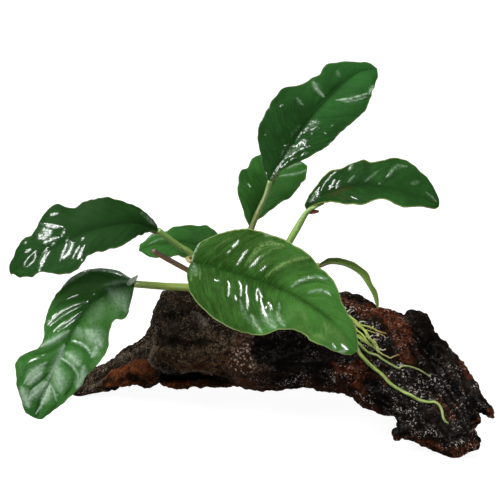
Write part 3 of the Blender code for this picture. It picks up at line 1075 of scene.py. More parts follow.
def flow_place(place: Vector) -> Vector:
    """Coordinates that run along the wood's grain, which rises over the arch and falls down the slab.

    Args:
        place: A point in the row frame, in metres.

    Returns:
        Millimetres along the wood, across it and above its middle.
    """
    spot = place / MM + CENTRE
    heights = (2.0, 4.0, 14.0, 30.0, 40.0, 42.0, 42.0, 44.0, 44.0, 36.0, 22.0, 6.0)
    depths = (42.0, 40.0, 36.0, 32.0, 28.0, 22.0, 16.0, 10.0, 4.0, -6.0, -20.0, -38.0)
    step = (spot.x + 100) / 20
    inside = min(max(step, 0.0), len(heights) - 1.001)
    return Vector((spot.x, spot.y - spline(depths, inside), spot.z - spline(heights, inside)))


@dataclass
class Driftwood:
    """The arch of dark, weathered wood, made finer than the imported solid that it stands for."""

    node: str = "driftwood"
    voxel: float = 0.72
    smoothing: int = 6
    spur_rings: int = 16
    spur_sides: int = 12
    level_below: float = 3.0
    dry_until: float = -25.0
    wet_from: float = 40.0
    bare_rust: float = 0.35
    marks: Sequence[Mark] = ()
    spurs: Sequence[tuple[Sequence[Point], float, float]] = ()

    def _refined(self) -> BMesh:
        """Even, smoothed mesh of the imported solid.

        Returns:
            The mesh in metres.
        """
        bm = bmesh.new()
        bm.from_mesh(bpy.data.objects[self.node].data)
        bmesh.ops.remove_doubles(bm, verts=bm.verts, dist=1e-6)
        for points, thick, thin in self.spurs:
            spur = bmesh.new()

            def radius_at(fraction: float, angle: float) -> float:
                return thick + (thin - thick) * fraction

            sweep(spur, Course(points), radius_at, self.spur_rings, self.spur_sides)
            to_metres(spur)
            joined = bpy.data.meshes.new("spur")
            spur.to_mesh(joined)
            spur.free()
            bm.from_mesh(joined)
            bpy.data.meshes.remove(joined)
        coarse = bpy.data.meshes.new("wood coarse")
        bm.to_mesh(coarse)
        bm.free()
        thing = new_object("wood_coarse", coarse)
        remesh = thing.modifiers.new("even mesh", "REMESH")
        remesh.mode = "VOXEL"
        remesh.voxel_size = self.voxel * MM
        evaluated = thing.evaluated_get(bpy.context.evaluated_depsgraph_get())
        fine = bmesh.new()
        fine.from_mesh(evaluated.to_mesh())
        evaluated.to_mesh_clear()
        bpy.data.objects.remove(thing)
        axes = dict.fromkeys(("use_axis_x", "use_axis_y", "use_axis_z"), True)
        for _ in range(self.smoothing):
            bmesh.ops.smooth_vert(fine, verts=fine.verts, factor=0.5, **axes)
        fine.normal_update()
        return fine

    @staticmethod
    def _relief(place: Vector, flow: Vector, pebbly: float) -> float:
        """Height of the weathering at a place, in millimetres.

        Args:
            place: The place in millimetres.
            flow: The place along the grain.
            pebbly: Share of the pebbled crust.

        Returns:
            The height along the surface's normal.
        """
        swirl = noise.noise(place / 15) * 2.5
        fibre = waver(flow.x / 26, (flow.y + swirl) / 4.2, (flow.z + swirl) / 4.2)
        thread = waver(flow.x / 13, flow.y / 1.9, flow.z / 1.9)
        lump = noise.noise(place / 8.5 + Vector((3, 0, 0)))
        crumb = noise.noise(place / 3.1)
        grit = noise.noise(place / 1.6)
        near, next_near = noise.voronoi(place / 2.4)[0][:2]
        height = 1.5 * (0.35 - abs(fibre)) + 0.4 * thread * (1 - 0.5 * pebbly)
        height += 1.5 * lump + 0.8 * crumb + 0.5 * grit
        return height + pebbly * 0.6 * (min(next_near - near, 0.5) - 0.2)

    def build(self) -> tuple[Object, BVHTree]:
        """Makes the wood.

        Returns:
            The wood's object and its surface in metres.
        """
        bm = self._refined()
        plain = BVHTree.FromBMesh(bm)
        names = [tint.value for tint in Tint] + ["wet", "relief"]
        layers = {name: bm.verts.layers.float.new(name) for name in names}
        flow_layer = bm.verts.layers.float_vector.new("flow")
        trees = []
        for mark in self.marks:
            places = mark.places(plain)
            if not places:
                LOG.warning("a mark at %s misses the wood", mark.pixels[0])
                continue
            tree = KDTree(len(places))
            for i, place in enumerate(places):
                tree.insert(place, i)
            tree.balance()
            trees.append((mark, tree))
        shifts = []
        for vert in bm.verts:
            place = vert.co / MM
            flow = flow_place(vert.co)
            vert[flow_layer] = flow
            ragged = 1 + 0.35 * noise.noise(place / 6)
            height = 0.0
            for mark, tree in trees:
                away = tree.find(vert.co)[2] / MM / (mark.width * ragged)
                if away > REACH:
                    continue
                height += mark.height * math.exp(-away * away)
                weight = (1 - smoothstep(0.75, 1.3, away)) * mark.share
                for tint in Tint if mark.tint else ():
                    layer = layers[tint.value]
                    if tint is mark.tint:
                        vert[layer] += max(weight - vert[layer], 0.0)
                    else:
                        vert[layer] -= vert[layer] * weight
            wet = smoothstep(self.dry_until, self.wet_from, flow.x + 14 * noise.noise(place / 20))
            vert[layers["wet"]] = wet
            below = smoothstep(0.1, 0.75, -vert.normal.z) * smoothstep(-0.25, 0.25, noise.noise(place / 13))
            vert[layers["rust"]] = max(vert[layers["rust"]], self.bare_rust * below * (1 - vert[layers["dark"]]))
            pebbly = max(vert[layers["pebble"]], 0.8 * wet, 0.25)
            relief = self._relief(place, flow, pebbly) * smoothstep(0.0, self.level_below, vert.co.z / MM)
            vert[layers["relief"]] = relief
            shifts.append((height + relief) * MM)
        for vert, shift in zip(bm.verts, shifts):
            vert.co += vert.normal * shift
            vert.co.z = max(vert.co.z, 0.0)
        surface = BVHTree.FromBMesh(bm)
        piece = finish_piece("driftwood_weathered", bm, [self.material()])
        return settle(piece, "driftwood", self.node), surface

    @staticmethod
    def material() -> Material:
        """Nearly black wet wood with brown fibres, red and rust patches, pale grit and painted glints, with painted
        shade in its pits, grooves and hollows and under the lip.

        Returns:
            The material.
        """
        made, board, shader = new_material("weathered driftwood")
        place = board.place()
        flow = board.attribute("flow", "Vector")
        wet = board.attribute("wet")
        fibres = board.noise(board.stretched(flow, (0.05, 0.42, 0.42)), 1.0, 6.0, 0.65, 0.3)
        threads = board.noise(board.stretched(flow, (0.09, 1.5, 1.5)), 1.0, 4.0, 0.7)
        cloud = board.noise(place, 95.0, 4.0, 0.6)
        grit = board.noise(place, 1250.0, 4.0, 0.75)
        crumbs = board.cells(place, 1100.0)
        brown = board.mix(board.ease(0.4, 0.65, fibres), (0.06, 0.036, 0.018), (0.16, 0.095, 0.048))
        sandy = board.ease(0.52, 0.6, grit) * board.ease(0.25, 0.55, cloud)
        pits = board.noise(place, 340.0, 4.0, 0.7)
        patchy = board.ease(0.3, 0.62, board.noise(place, 230.0, 4.0, 0.65))
        veins = board.ease(0.42, 0.58, board.noise(place, 640.0, 3.0, 0.7))
        rust = board.mix(board.ease(0.4, 0.65, fibres), (0.17, 0.05, 0.018), (0.34, 0.096, 0.032))
        rust = board.mix(0.65 * board.ease(0.7, 0.0, veins), rust, (0.05, 0.018, 0.008))
        # Painted glints: near-white dots and dashes on the wet wood in place of the sparkle of its wet film, cleared
        # where the smooth marks lie.
        painted_glint_dashes = board.ease(0.075, 0.02, abs(board.noise(place, 620.0, 1.0) - 0.5))
        painted_glint_dashes = painted_glint_dashes * board.ease(0.53, 0.6, board.noise(place, 900.0, 1.0))
        painted_glints = board.math("MAXIMUM", board.dots(place, 1150.0, 0.38, 0.25), painted_glint_dashes)
        painted_glints = painted_glints * board.ease(0.44, 0.64, board.noise(place, 130.0, 3.0))
        painted_glints = painted_glints * (0.95 * wet + 0.06) * (1.0 - board.attribute("smooth"))
        red, pebble = board.attribute("red"), board.attribute("pebble")
        colour = board.layered(
            board.mix(board.ease(0.35, 0.7, fibres), (0.008, 0.0046, 0.003), (0.036, 0.02, 0.011)),
            (0.4 * board.ease(0.5, 0.75, threads), (0.04, 0.024, 0.014)),
            (0.85 * board.attribute("brown"), brown),
            (sandy * board.ease(1.1, 0.0, wet), (0.32, 0.25, 0.17)),
            # Painted shade: near black in the pits that the bump sinks.
            (0.8 * board.ease(0.52, 0.4, pits), (0.003, 0.0024, 0.002)),
            (0.7 * board.ease(0.55, 0.35, cloud), (0.0038, 0.0024, 0.0017)),
            (0.58 * wet, (0.004, 0.0024, 0.0016)),
            (0.25 * board.ease(0.2, 1.4, board.attribute("relief")), (0.045, 0.026, 0.015)),
            (red * board.ease(0.1, 0.7, patchy), board.mix(veins, (0.03, 0.008, 0.004), (0.165, 0.042, 0.015))),
            (board.attribute("rust") * board.ease(0.0, 0.4, patchy), rust),
            # Pale grit, and the painted highlight along the lip's edge.
            (0.85 * board.attribute("pale") * board.ease(0.3, 0.6, grit), (0.33, 0.27, 0.21)),
            (0.8 * pebble, (0.065, 0.03, 0.014)),
            (painted_glints, board.mix(red, (0.98, 0.88, 0.8), (0.8, 0.42, 0.3))),
            (board.dots(place, 640.0, 0.5, 0.95) * pebble, (0.84, 0.58, 0.44)),
            # Near-black wood and painted shade.
            (0.9 * board.attribute("dark"), (0.0022, 0.0018, 0.0016)),
        )
        shine = wet * board.ease(0.42, 0.58, grit)
        board.set(
            shader,
            Base_Color=colour,
            Roughness=0.75 - 0.25 * shine,
            Coat_Weight=0.1 * shine,
            Coat_Roughness=0.14,
            Specular_IOR_Level=0.02,
        )
        height = 0.45 * grit + 0.5 * board.ease(0.5, 0.0, crumbs) + 0.5 * fibres + 0.35 * threads
        height = height + 0.8 * board.ease(0.35, 0.55, pits)
        add_bump(board, shader, height, 0.85)
        return made


# Each spur is its middle line and its radii at the start and the end.
WOOD_SPURS = (
    (((84, -34, 16), (77, -36, 12.4), (71.4, -37.5, 11)), 5.0, 2.0),
    (((80, -35, 12), (75, -36.5, 9.4), (71.4, -37.5, 8.4)), 3.0, 1.6),
    (((-36, 26, 58.2), (-40, 26.3, 59.2), (-44.9, 26.5, 59.6)), 3.6, 2.8),
    (((-52, 25, 35), (-58, 26, 32.5), (-64, 27, 31.5)), 2.0, 0.7),
    (
        (
            (91, 6, 45), (99.5, -3, 40.5), (106.5, -10, 34), (112.2, -15.5, 27.5), (118.3, -21.5, 20.5),
            (121.9, -27.4, 14.8),
        ),
        3.4,
        0.8,
    ),
    (((105, -35, 10), (111, -37, 7.5), (115.3, -38.2, 5.6)), 5.0, 1.2),
)

WOOD_MARKS = marks(None, (
    (5, 2.4, 1, 380, 313, 390, 316, 400, 316),
    (3.5, 1.5, 1, 157, 294, 161, 303),
    (4, -2.4, 1, 342, 293, 350, 295, 360, 298),
    (3, 1.2, 1, 403, 313, 411, 313),
    (4.4, -2.2, 1, 433, 318, 438, 326, 446, 342),
    (2.5, -1.5, 1, 124, 359, 131, 356),
    (3.4, -2.6, 1, 116, 356, 122, 351, 128, 347, 138, 341, 146, 335),
    (3, 1.5, 1, 124, 384, 136, 386, 147, 385),
    (2.2, 2, 1, 164, 385, 168, 386.5),
    (3, -2.4, 1, 182, 388, 190, 389),
    (2.4, -1, 1, 214, 387, 219, 387),
    (3.8, -4.6, 1, 387, 415, 394, 421),
    (3, 1, 1, 421, 443, 430, 449),
    (2.6, -1.6, 1, 400, 440, 410, 441),
    (2.4, -3.2, 1, 477, 424, 480, 430, 481, 437),
# Spots cleared of the painted glints.
)) + marks(Tint.SMOOTH, (
    (7, 0, 1, 405, 312, 418, 318, 430, 330, 437, 345),
    (7, 0, 0.8, 262, 345, 285, 352, 300, 362),
)) + marks(Tint.BROWN, (
    (9, 0, 1, 160, 350, 178, 358, 200, 360, 215, 362),
    (7, 0, 0.8, 205, 345, 225, 340, 245, 335),
    (5, 0, 0.5, 175, 300, 185, 312),
    (3, 0, 0.45, 240, 384, 262, 388, 290, 386, 320, 389),
    (5, 0, 0.9, 236, 350, 250, 345, 262, 338),
    (4, 0, 0.6, 90, 392, 110, 382, 130, 360),
    (6, 0, 0.6, 344, 296, 360, 303, 374, 312),
    (4, 0, 0.35, 428, 345, 450, 365, 470, 395),
)) + marks(Tint.RUST, (
    (4.2, 0, 1, 110, 375, 125, 373, 140, 369, 149, 368),
    (3.5, 0, 1, 108, 380, 130, 382, 150, 378),
    (2.6, 0, 1, 165, 384, 176, 385, 190, 384),
    (2.4, 0, 0.5, 192, 384, 215, 385, 236, 386),
    (8, 0, 0.2, 232, 360, 245, 351, 258, 344),
)) + marks(Tint.RED, (
    (1.8, 0, 0.8, 395, 436, 402, 437, 415, 437),
)) + marks(Tint.RUST, (
    (1.1, 0, 1, 456, 456, 465, 452.5, 472, 449, 479, 443.5),
    (1.1, 0, 0.9, 475, 429, 480, 420),
    (1.2, 0, 0.6, 489, 411, 492, 415),
)) + marks(Tint.RED, (
    (6, 0, 1, 380, 311, 390, 318, 396, 324),
    (5, 0, 0.9, 400, 332, 406, 345, 409, 356),
    (7, 0, 1, 343, 360, 353, 368, 362, 378),
    (4, 0, 0.25, 342, 380, 352, 388, 362, 393),
    (4, 0, 0.7, 345, 297, 356, 304, 366, 312),
    (5, 0, 0.6, 262, 342, 275, 345),
    (4, 0, 0.45, 440, 405, 452, 412),
    (2.6, 0, 0.6, 418, 440, 430, 446, 440, 448),
    (1.8, 0, 0.6, 455, 451, 466, 447, 474, 443),
    (1.4, 0, 0.8, 460, 362, 470, 378),
    (3, 0, 0.4, 386, 380, 376, 372),
    (2.5, 0, 0.6, 297, 387, 314, 391),
)) + marks(Tint.PEBBLE, (
    (6, 0.4, 0.95, 262, 344, 250, 353, 238, 362),
    (3.6, 0.1, 0.9, 246, 370, 255, 365),
# Painted shadow under the lip.
)) + marks(Tint.DARK, (
    (1.6, -2, 1, 163, 377, 178, 379, 195, 376.5, 210, 377.5),
)) + marks(Tint.PALE_AND_HIGHLIGHT, (
    (2.6, 0, 0.45, 196, 317, 203, 322),
    (4, 0, 0.25, 168, 328, 180, 332),
    # Painted highlight along the lip's edge.
    (0.9, 1.4, 0.8, 157, 328, 156, 340, 153.5, 352, 150.5, 360),
    (0.9, 1.4, 1, 150.5, 361, 154, 366, 160, 369, 167, 371.8, 174, 373, 180, 372, 188, 370.2),
    (0.8, 0.9, 0.85, 190, 370, 200, 370, 210, 371.5, 218, 374, 227, 376),
    (2, 0, 0.5, 92, 388, 98, 382, 104, 377),
    (2.4, 0.3, 0.25, 118, 359, 132, 353, 146, 346),
# Near-black wood, and painted shade in the grooves and hollows.
)) + marks(Tint.DARK, (
    (4.5, -1, 0.4, 160, 336, 170, 340, 181, 337),
    (4, -0.4, 0.45, 178, 304, 186, 312, 194, 328),
    (3, -0.3, 0.35, 160, 296, 166, 306),
    (8, -1.8, 1, 266, 350, 280, 358, 296, 352),
    (2.4, -3.6, 1, 430, 345, 438, 357, 445, 368, 452, 380, 460, 390, 470, 408, 476, 420),
    (1, -1.6, 1, 434, 366, 446, 386, 456, 400, 466, 416, 473, 426),
    (0.9, -1.3, 1, 444, 398, 456, 412, 466, 428),
    (1.2, -1.2, 0.8, 410, 345, 424, 372, 436, 390),
    (5, -0.6, 0.8, 330, 352, 345, 354),
    (4, -0.4, 0.8, 262, 338, 290, 340),
    (6, -0.8, 0.8, 302, 362, 318, 374),
    (4, -1.2, 0.8, 372, 385, 382, 398, 384, 408),
    (4, -0.8, 0.7, 420, 345, 428, 352),
    (1.6, -0.6, 0.8, 128, 360, 110, 370, 96, 380),
    (3, -0.5, 0.8, 131, 377, 134, 379),
    (5, -0.3, 0.4, 176, 318, 186, 338),
    (1.8, 0, 0.9, 394, 425, 397, 430, 408, 432),
    (1, -0.5, 0.6, 150, 351, 138, 354, 124, 359),
    (1.4, 0, 0.7, 106, 387, 124, 387, 142, 388, 152, 385),
    (1.1, -0.2, 0.6, 104, 382, 113, 379),
    (1.2, -0.2, 0.5, 120, 381, 124, 379),
    (1.4, -0.2, 0.6, 141, 379, 145, 383),
    (0.9, -0.2, 0.4, 117, 369, 122, 368),
))


@dataclass
class Rhizome:
    """The creeping stem on the wood, ringed with the scars of old leaves."""

    points: Sequence[Point]
    radius: float = 5.5
    rings: int = 190
    sides: int = 48
    scars: int = 17

    def build(self) -> Object:
        """Makes the rhizome with its rings, knobs and blunt ends."""
        course = Course(self.points)
        bm = bmesh.new()

        def radius_at(fraction: float, angle: float) -> float:
            step = fraction * self.scars + 0.25 * math.sin(angle + 1.7 * fraction * self.scars)
            phase = step - math.floor(step)
            collar = 0.5 * smoothstep(0.0, 0.85, phase) * (1 - smoothstep(0.9, 1.0, phase))
            end = max(0.0, 1 - abs(2 * fraction - 1) ** 9) ** 0.5
            knob = 0.6 * waver(7 * fraction, 1.4 * math.cos(angle), 1.4 * math.sin(angle))
            return max((self.radius - 0.3 + collar + knob) * end, 0.15)

        sweep(bm, course, radius_at, self.rings, self.sides)
        to_metres(bm)
        piece = finish_piece("rhizome_skin", bm, [self.material()])
        return settle(piece, "rhizome", "rhizome")

    def material(self) -> Material:
        """Green skin that turns brown and papery at every scar.

        Returns:
            The material.
        """
        made, board, shader = new_material("rhizome skin")
        place = board.place()
        along = board.attribute("along")
        cloud = board.noise(place, 110.0, 4.0, 0.6)
        fine = board.noise(place, 650.0, 4.0, 0.7)
        step = along * float(self.scars) + 0.5 * cloud
        ring = abs(board.math("FRACT", step) - 0.5)
        colour = board.layered(
            board.mix(board.ease(0.4, 0.62, cloud), (0.05, 0.075, 0.02), (0.085, 0.05, 0.022)),
            (board.ease(0.32, 0.48, ring), (0.035, 0.02, 0.011)),
            (0.5 * board.ease(0.5, 0.7, fine), (0.17, 0.12, 0.06)),
        )
        board.set(shader, Base_Color=colour, Roughness=0.3 * fine + 0.35)
        add_bump(board, shader, fine + 0.8 * ring, 0.35)
        return made


@dataclass(frozen=True)
class RootFinish:
    """Colours of a root from where it leaves the rhizome to its tip."""

    young: Colour = (0.33, 0.5, 0.06)
    tip: Colour = (0.42, 0.58, 0.17)

    def material(self, name: str) -> Material:
        """Waxy skin with paler blotches, and streaks of painted highlight and painted shade along it.

        Args:
            name: The material's name.

        Returns:
            The material.
        """
        made, board, shader = new_material(name)
        place = board.place()
        cloud = board.noise(place, 260.0, 3.0)
        along = board.attribute("along") + 0.5 * (cloud - 0.5)
        colour = board.mix(board.ease(0.6, 1.1, along), self.young, self.tip)
        pale = tuple(min(1.0, 1.6 * part) for part in self.young)
        colour = board.mix(0.5 * board.ease(0.5, 0.68, cloud), colour, pale)
        # Painted highlight streaks toward pale yellow and painted shade streaks toward dark green.
        lanes = board.plane(8.0 * board.attribute("along"), 6.0 * board.attribute("around"))
        lanes = board.noise(lanes, 1.0, 3.0, 0.6)
        light = board.mix(0.55, colour, (0.88, 0.86, 0.45))
        colour = board.mix(board.ease(0.52, 0.6, lanes), colour, light)
        dull = board.mix(0.65, colour, (0.06, 0.12, 0.015))
        colour = board.mix(board.ease(0.48, 0.38, lanes), colour, dull)
        board.set(shader, Base_Color=colour, Roughness=0.38)
        add_bump(board, shader, board.noise(place, 1400.0, 2.0), 0.12)
        return made


@dataclass
class Root:
    """A root that lies on the wood where lines of sight through its pixels meet it."""

    name: str
    pixels: Sequence[Pixel]
    thick: float
    thin: float
    finish: RootFinish = field(default_factory=RootFinish)
    node: str = ""
    start: Sequence[Point] = ()
    lift: float = 0.0
    clearance: float = 0.75
    ring_step: float = 0.45
    fewest_rings: int = 24
    sides: int = 12

    def build(self, surface: BVHTree) -> Object:
        """Makes the root.

        Args:
            surface: The wood's surface in metres.

        Returns:
            The root's object.
        """
        points = [Vector(point) for point in self.start]
        count = len(self.pixels) - 1
        for i, pixel in enumerate(self.pixels):
            part = i / count
            radius = self.thick + (self.thin - self.thick) * part
            eye, aim = sight(pixel)
            hit, normal, _, _ = surface.ray_cast(eye, aim)
            if hit is None:
                hit, normal, _, _ = surface.find_nearest(eye + aim * (CAMERA_DISTANCE * MM))
            clear = radius * self.clearance + self.lift * math.sin(math.pi * min(1.0, part + 0.15))
            points.append(hit / MM + CENTRE - aim * clear)
        points = [
            point if i in (0, len(points) - 1) else 0.8 * point + 0.1 * (points[i - 1] + points[i + 1])
            for i, point in enumerate(points)
        ]
        course = Course(points)
        bm = bmesh.new()

        def radius_at(fraction: float, angle: float) -> float:
            knobby = 1 + 0.3 * waver(course.length * fraction / 2.5, math.cos(angle), math.sin(angle))
            blunt = max(0.0, 1 - max(0.0, (fraction - 0.95) / 0.05) ** 2) ** 0.5
            return max((self.thick + (self.thin - self.thick) * fraction) * knobby * blunt, 0.05)

        rings = max(self.fewest_rings, round(course.length / self.ring_step))
        sweep(bm, course, radius_at, rings, self.sides)
        to_metres(bm)
        piece = finish_piece(self.name + "_strand", bm, [self.finish.material(self.name)])
        return settle(piece, "root", *([self.node] if self.node else []))


GREEN_ROOT = RootFinish()
RUSTY_ROOT = RootFinish(young=(0.44, 0.52, 0.09), tip=(0.85, 0.42, 0.16))
PALE_ROOT = RootFinish(young=(0.5, 0.62, 0.1), tip=(0.6, 0.6, 0.16))
OLIVE_ROOT = RootFinish(young=(0.28, 0.42, 0.08), tip=(0.36, 0.34, 0.12))
WHITE_ROOT = RootFinish(young=(0.8, 0.76, 0.6), tip=(0.85, 0.72, 0.6))
SPROUT = ((43, -12, 50),)
COLLAR = ((42, -11, 53),)

ROOTS = (
    Root(
        "root_long",
        pairs(
            355.5, 344, 356.7, 347, 359.6, 353.7, 364.4, 359, 369.7, 364.6, 375.3, 369, 382.1, 374.4, 388.9, 382.4,
            395.7, 387.5, 403.7, 392, 411.6, 395.4, 418.4, 399.9, 427.5, 402.2, 435.4, 401.6, 439.9, 405.6, 442.2,
            411.3, 443.3, 418.1, 445.6, 422, 449, 423.2,
        ),
        1.05, 0.62, GREEN_ROOT, "root_long", SPROUT,
    ),
    Root(
        "root_middle",
        pairs(
            356, 340, 358.9, 343.7, 363.1, 348, 367.4, 352.3, 373.1, 354.1, 378.1, 355.4, 381.7, 359, 387.4, 362.3,
            392.4, 365.1, 398.6, 369, 402.5, 365.4, 409.3, 366.5, 418.4, 369.3, 425.2, 373.3, 430.3, 376.7,
        ),
        0.75, 0.42, OLIVE_ROOT, "root_middle", SPROUT,
    ),
    Root(
        "root_curled",
        pairs(
            357.2, 334.2, 363, 339, 370, 344, 376, 349, 379.6, 352.3, 382.4, 354.4, 386, 355.9, 390.3, 358.4, 393.1,
            356.6, 397.4, 355.1, 399.6, 354.8,
        ),
        0.7, 0.28, RUSTY_ROOT, "root_curled", SPROUT,
    ),
    Root(
        "root_upper",
        pairs(351.5, 317.8, 357, 323, 361, 325, 368.1, 326.6, 373.1, 328.7, 378.9, 331.6, 386.7, 333.7),
        0.75, 0.35, RUSTY_ROOT, "root_upper", COLLAR,
    ),
    Root(
        "root_strand",
        pairs(356, 325, 360, 327, 366, 330.1, 371.7, 331.6, 376, 333.4, 381.7, 334.4, 385.3, 336.6),
        0.45, 0.25, RUSTY_ROOT, "", COLLAR, 0.5,
    ),
    Root(
        "root_tangle",
        pairs(
            352, 320, 359.6, 326.6, 364.6, 330.1, 367.4, 335.1, 370.3, 340.1, 374.6, 341.5, 376.7, 346.6, 379.6, 352.3,
        ),
        0.8, 0.75, PALE_ROOT, "", COLLAR, 0.9,
    ),
    Root(
        "root_fork_a",
        pairs(354, 326, 358.1, 331.6, 363.1, 335.1, 366, 340.1, 370, 344),
        0.55, 0.45, PALE_ROOT, "", COLLAR, 0.7,
    ),
    Root(
        "root_fork_b",
        pairs(356, 333, 358.1, 337.3, 362.4, 340.9, 367.4, 343.7, 372, 347),
        0.55, 0.4, GREEN_ROOT, "", SPROUT, 1.0,
    ),
    Root("root_fork_c", pairs(366, 336, 371, 339, 374, 344, 376, 349, 379, 353), 0.6, 0.4, GREEN_ROOT, "", (), 1.2),
    Root(
        "root_edge",
        pairs(344, 309.5, 347.4, 314.8, 353.1, 318.7, 357.4, 322.3, 359.5, 326),
        0.5, 0.45, PALE_ROOT, "", (), 0.6,
    ),
    Root("root_sliver_a", pairs(341.4, 304.8, 344, 306.8, 346.4, 308.7), 0.4, 0.25, WHITE_ROOT),
    Root("root_sliver_b", pairs(347.4, 311.6, 350.3, 309.4), 0.4, 0.3, WHITE_ROOT),
    Root("root_sliver_c", pairs(359, 322.4, 362, 321.4, 366, 321.9), 0.4, 0.25, WHITE_ROOT),
    Root("root_sliver_d", pairs(370, 337.2, 373.1, 335.1), 0.4, 0.3, WHITE_ROOT),
    Root("root_sliver_e", pairs(379.6, 348.7, 382.4, 350.5, 386, 349.1), 0.35, 0.25, WHITE_ROOT),
    Root("root_whisker_a", pairs(360, 345, 366, 350, 369, 353), 0.5, 0.35, GREEN_ROOT, "", (), 0.6),
    Root("root_whisker_b", pairs(372.3, 328.8, 373.3, 325.8), 0.45, 0.3, PALE_ROOT),
)


class Reach(Enum):
    """What a light shows in."""

    ALL = "all"
    FILMS = "wet films only"
    MATT = "matt colours only"


class Studio:
    """The pale floor, the soft lights and the camera."""

    FLOOR_TONE = 0.3
    FLOOR_GLOW = 0.91
    WORLD_GLOW = 0.06
    BACKDROP_GLOW = 1.05
    # Each light is what softbox takes, in the same order.
    LIGHTS = (
        ("left softbox", -72.0, 36.0, 1.15, (0.75, 0.6), 11.0),
        ("overhead softbox", -30.0, 68.0, 1.4, (0.6, 0.45), 11.0),
        ("right softbox", 58.0, 22.0, 1.3, (0.25, 0.4), 3.5),
        ("low left strip", -48.0, 12.0, 1.2, (0.5, 0.4), 5.5, Reach.FILMS),
        ("front strip", 2.0, 27.0, 1.3, (1.1, 0.45), 12.0, Reach.FILMS),
        ("high left strip", -88.0, 63.0, 1.3, (0.6, 0.45), 7.5, Reach.FILMS),
        ("rear left strip", -125.0, 50.0, 1.3, (0.8, 0.65), 14.0, Reach.FILMS),
        ("rear fill", 170.0, 24.0, 1.4, (1.0, 0.6), 6.0, Reach.MATT),
    )

    @staticmethod
    def camera() -> None:
        """Puts the camera at the picture's viewing angle."""
        data = bpy.data.cameras.new("camera")
        data.sensor_width = SENSOR
        data.lens = SENSOR * CAMERA_DISTANCE / (PICTURE_SIDE * PICTURE_STEP)
        data.clip_start = 0.01
        data.clip_end = 20.0
        thing = new_object("camera", data)
        eye, aim = sight((PICTURE_SIDE / 2, PICTURE_SIDE / 2))
        thing.location = eye
        thing.rotation_mode = "QUATERNION"
        thing.rotation_quaternion = aim.to_track_quat("-Z", "Y")
        bpy.context.scene.camera = thing

    def floor(self) -> None:
        """Lays the white floor."""
        bm = bmesh.new()
        bmesh.ops.create_grid(bm, x_segments=1, y_segments=1, size=6.0)
        made, board, shader = new_material("white floor")
        board.set(
            shader,
            Base_Color=(self.FLOOR_TONE,) * 3,
            Roughness=0.9,
            Specular_IOR_Level=0.0,
            Emission_Color=(1.0, 1.0, 1.0),
            Emission_Strength=self.FLOOR_GLOW * board.out(board.add("LightPath"), "Is Camera Ray"),
        )
        finish_piece("floor", bm, [made])

    def world(self) -> None:
        """White backdrop that lights the object only softly."""
        world = bpy.data.worlds.new("studio")
        world.use_nodes = True
        board = Board(world.node_tree)
        soft = world.node_tree.nodes["Background"]
        backdrop = board.add("Background")
        for node, glow in ((soft, self.WORLD_GLOW), (backdrop, self.BACKDROP_GLOW)):
            board.set(node, Color=(1.0, 1.0, 1.0), Strength=glow)
        choose = board.add("MixShader")
        seen = board.out(board.add("LightPath"), "Is Camera Ray")
        for socket, value in zip(choose.inputs, (seen, board.out(soft), board.out(backdrop))):
            board.feed(socket, value)
        board.set(world.node_tree.nodes["World Output"], Surface=board.out(choose))
        bpy.context.scene.world = world

    @staticmethod
    def softbox(
        name: str,
        azimuth: float,
        elevation: float,
        distance: float,
        size: tuple[float, float],
        power: float,
        reach: Reach = Reach.ALL,
    ) -> None:
        """Hangs a softbox that looks at the plant.

        Args:
            name: The light's name.
            azimuth: Degrees from the viewer's side, to the right if positive.
            elevation: Degrees above the floor.
            distance: Metres from the plant.
            size: Width and height in metres.
            power: Watts.
            reach: What it shows in.
        """
        data = bpy.data.lights.new(name, "AREA")
        data.shape = "RECTANGLE"
        data.size, data.size_y = size
        data.energy = power
        thing = new_object(name, data)
        turn, rise = math.radians(azimuth), math.radians(elevation)
        way = Vector((math.sin(turn) * math.cos(rise), -math.cos(turn) * math.cos(rise), math.sin(rise)))
        thing.location = PLANT_MIDDLE + way * distance
        thing.rotation_mode = "QUATERNION"
        thing.rotation_quaternion = (-way).to_track_quat("-Z", "Y")
        thing.visible_camera = False
        thing.visible_diffuse = reach is not Reach.FILMS
        thing.visible_glossy = reach is not Reach.MATT

    def build(self) -> None:
        """Sets up everything round the plant."""
        self.camera()
        self.floor()
        self.world()
        for light in self.LIGHTS:
            self.softbox(*light)
        bpy.context.scene.view_settings.view_transform = "Standard"
        bpy.context.scene.view_settings.look = "None"


FRONT_LEAF = LeafFinish(
    deep=(0.018, 0.056, 0.005),
    fresh=(0.08, 0.255, 0.045),
    swelling=(0.2, 0.32, 0.1),
    midrib=(0.012, 0.042, 0.005),
    margin=(0.36, 0.42, 0.16),
    swelling_share=0.05,
    margin_share=0.55,
    film_ripple=0.8,
    film_gaps=0.15,
)
TOP_LEAF = LeafFinish(
    deep=(0.0115, 0.046, 0.009),
    fresh=(0.031, 0.135, 0.027),
    midrib=(0.0125, 0.048, 0.009),
    film_ripple=2.6,
    film_gaps=0.9,
)
LEFT_LEAF = LeafFinish(deep=(0.013, 0.047, 0.0095), fresh=(0.0115, 0.05, 0.009))
RIGHT_LEAF = LeafFinish(fresh=(0.03, 0.115, 0.023), margin=(0.36, 0.4, 0.09), margin_share=0.45)
LOWER_LEAF = LeafFinish(
    deep=(0.034, 0.128, 0.02),
    fresh=(0.047, 0.17, 0.033),
    swelling=(0.16, 0.32, 0.12),
    midrib=(0.017, 0.07, 0.012),
    bloom=(0.5, 0.66, 0.5),
    swelling_share=0.1,
    vein_share=0.15,
    film_ripple=0.8,
    film_gaps=0.3,
    mottling=0.45,
)
BACK_LEAF = LeafFinish(deep=(0.02, 0.074, 0.012), fresh=(0.036, 0.145, 0.023))
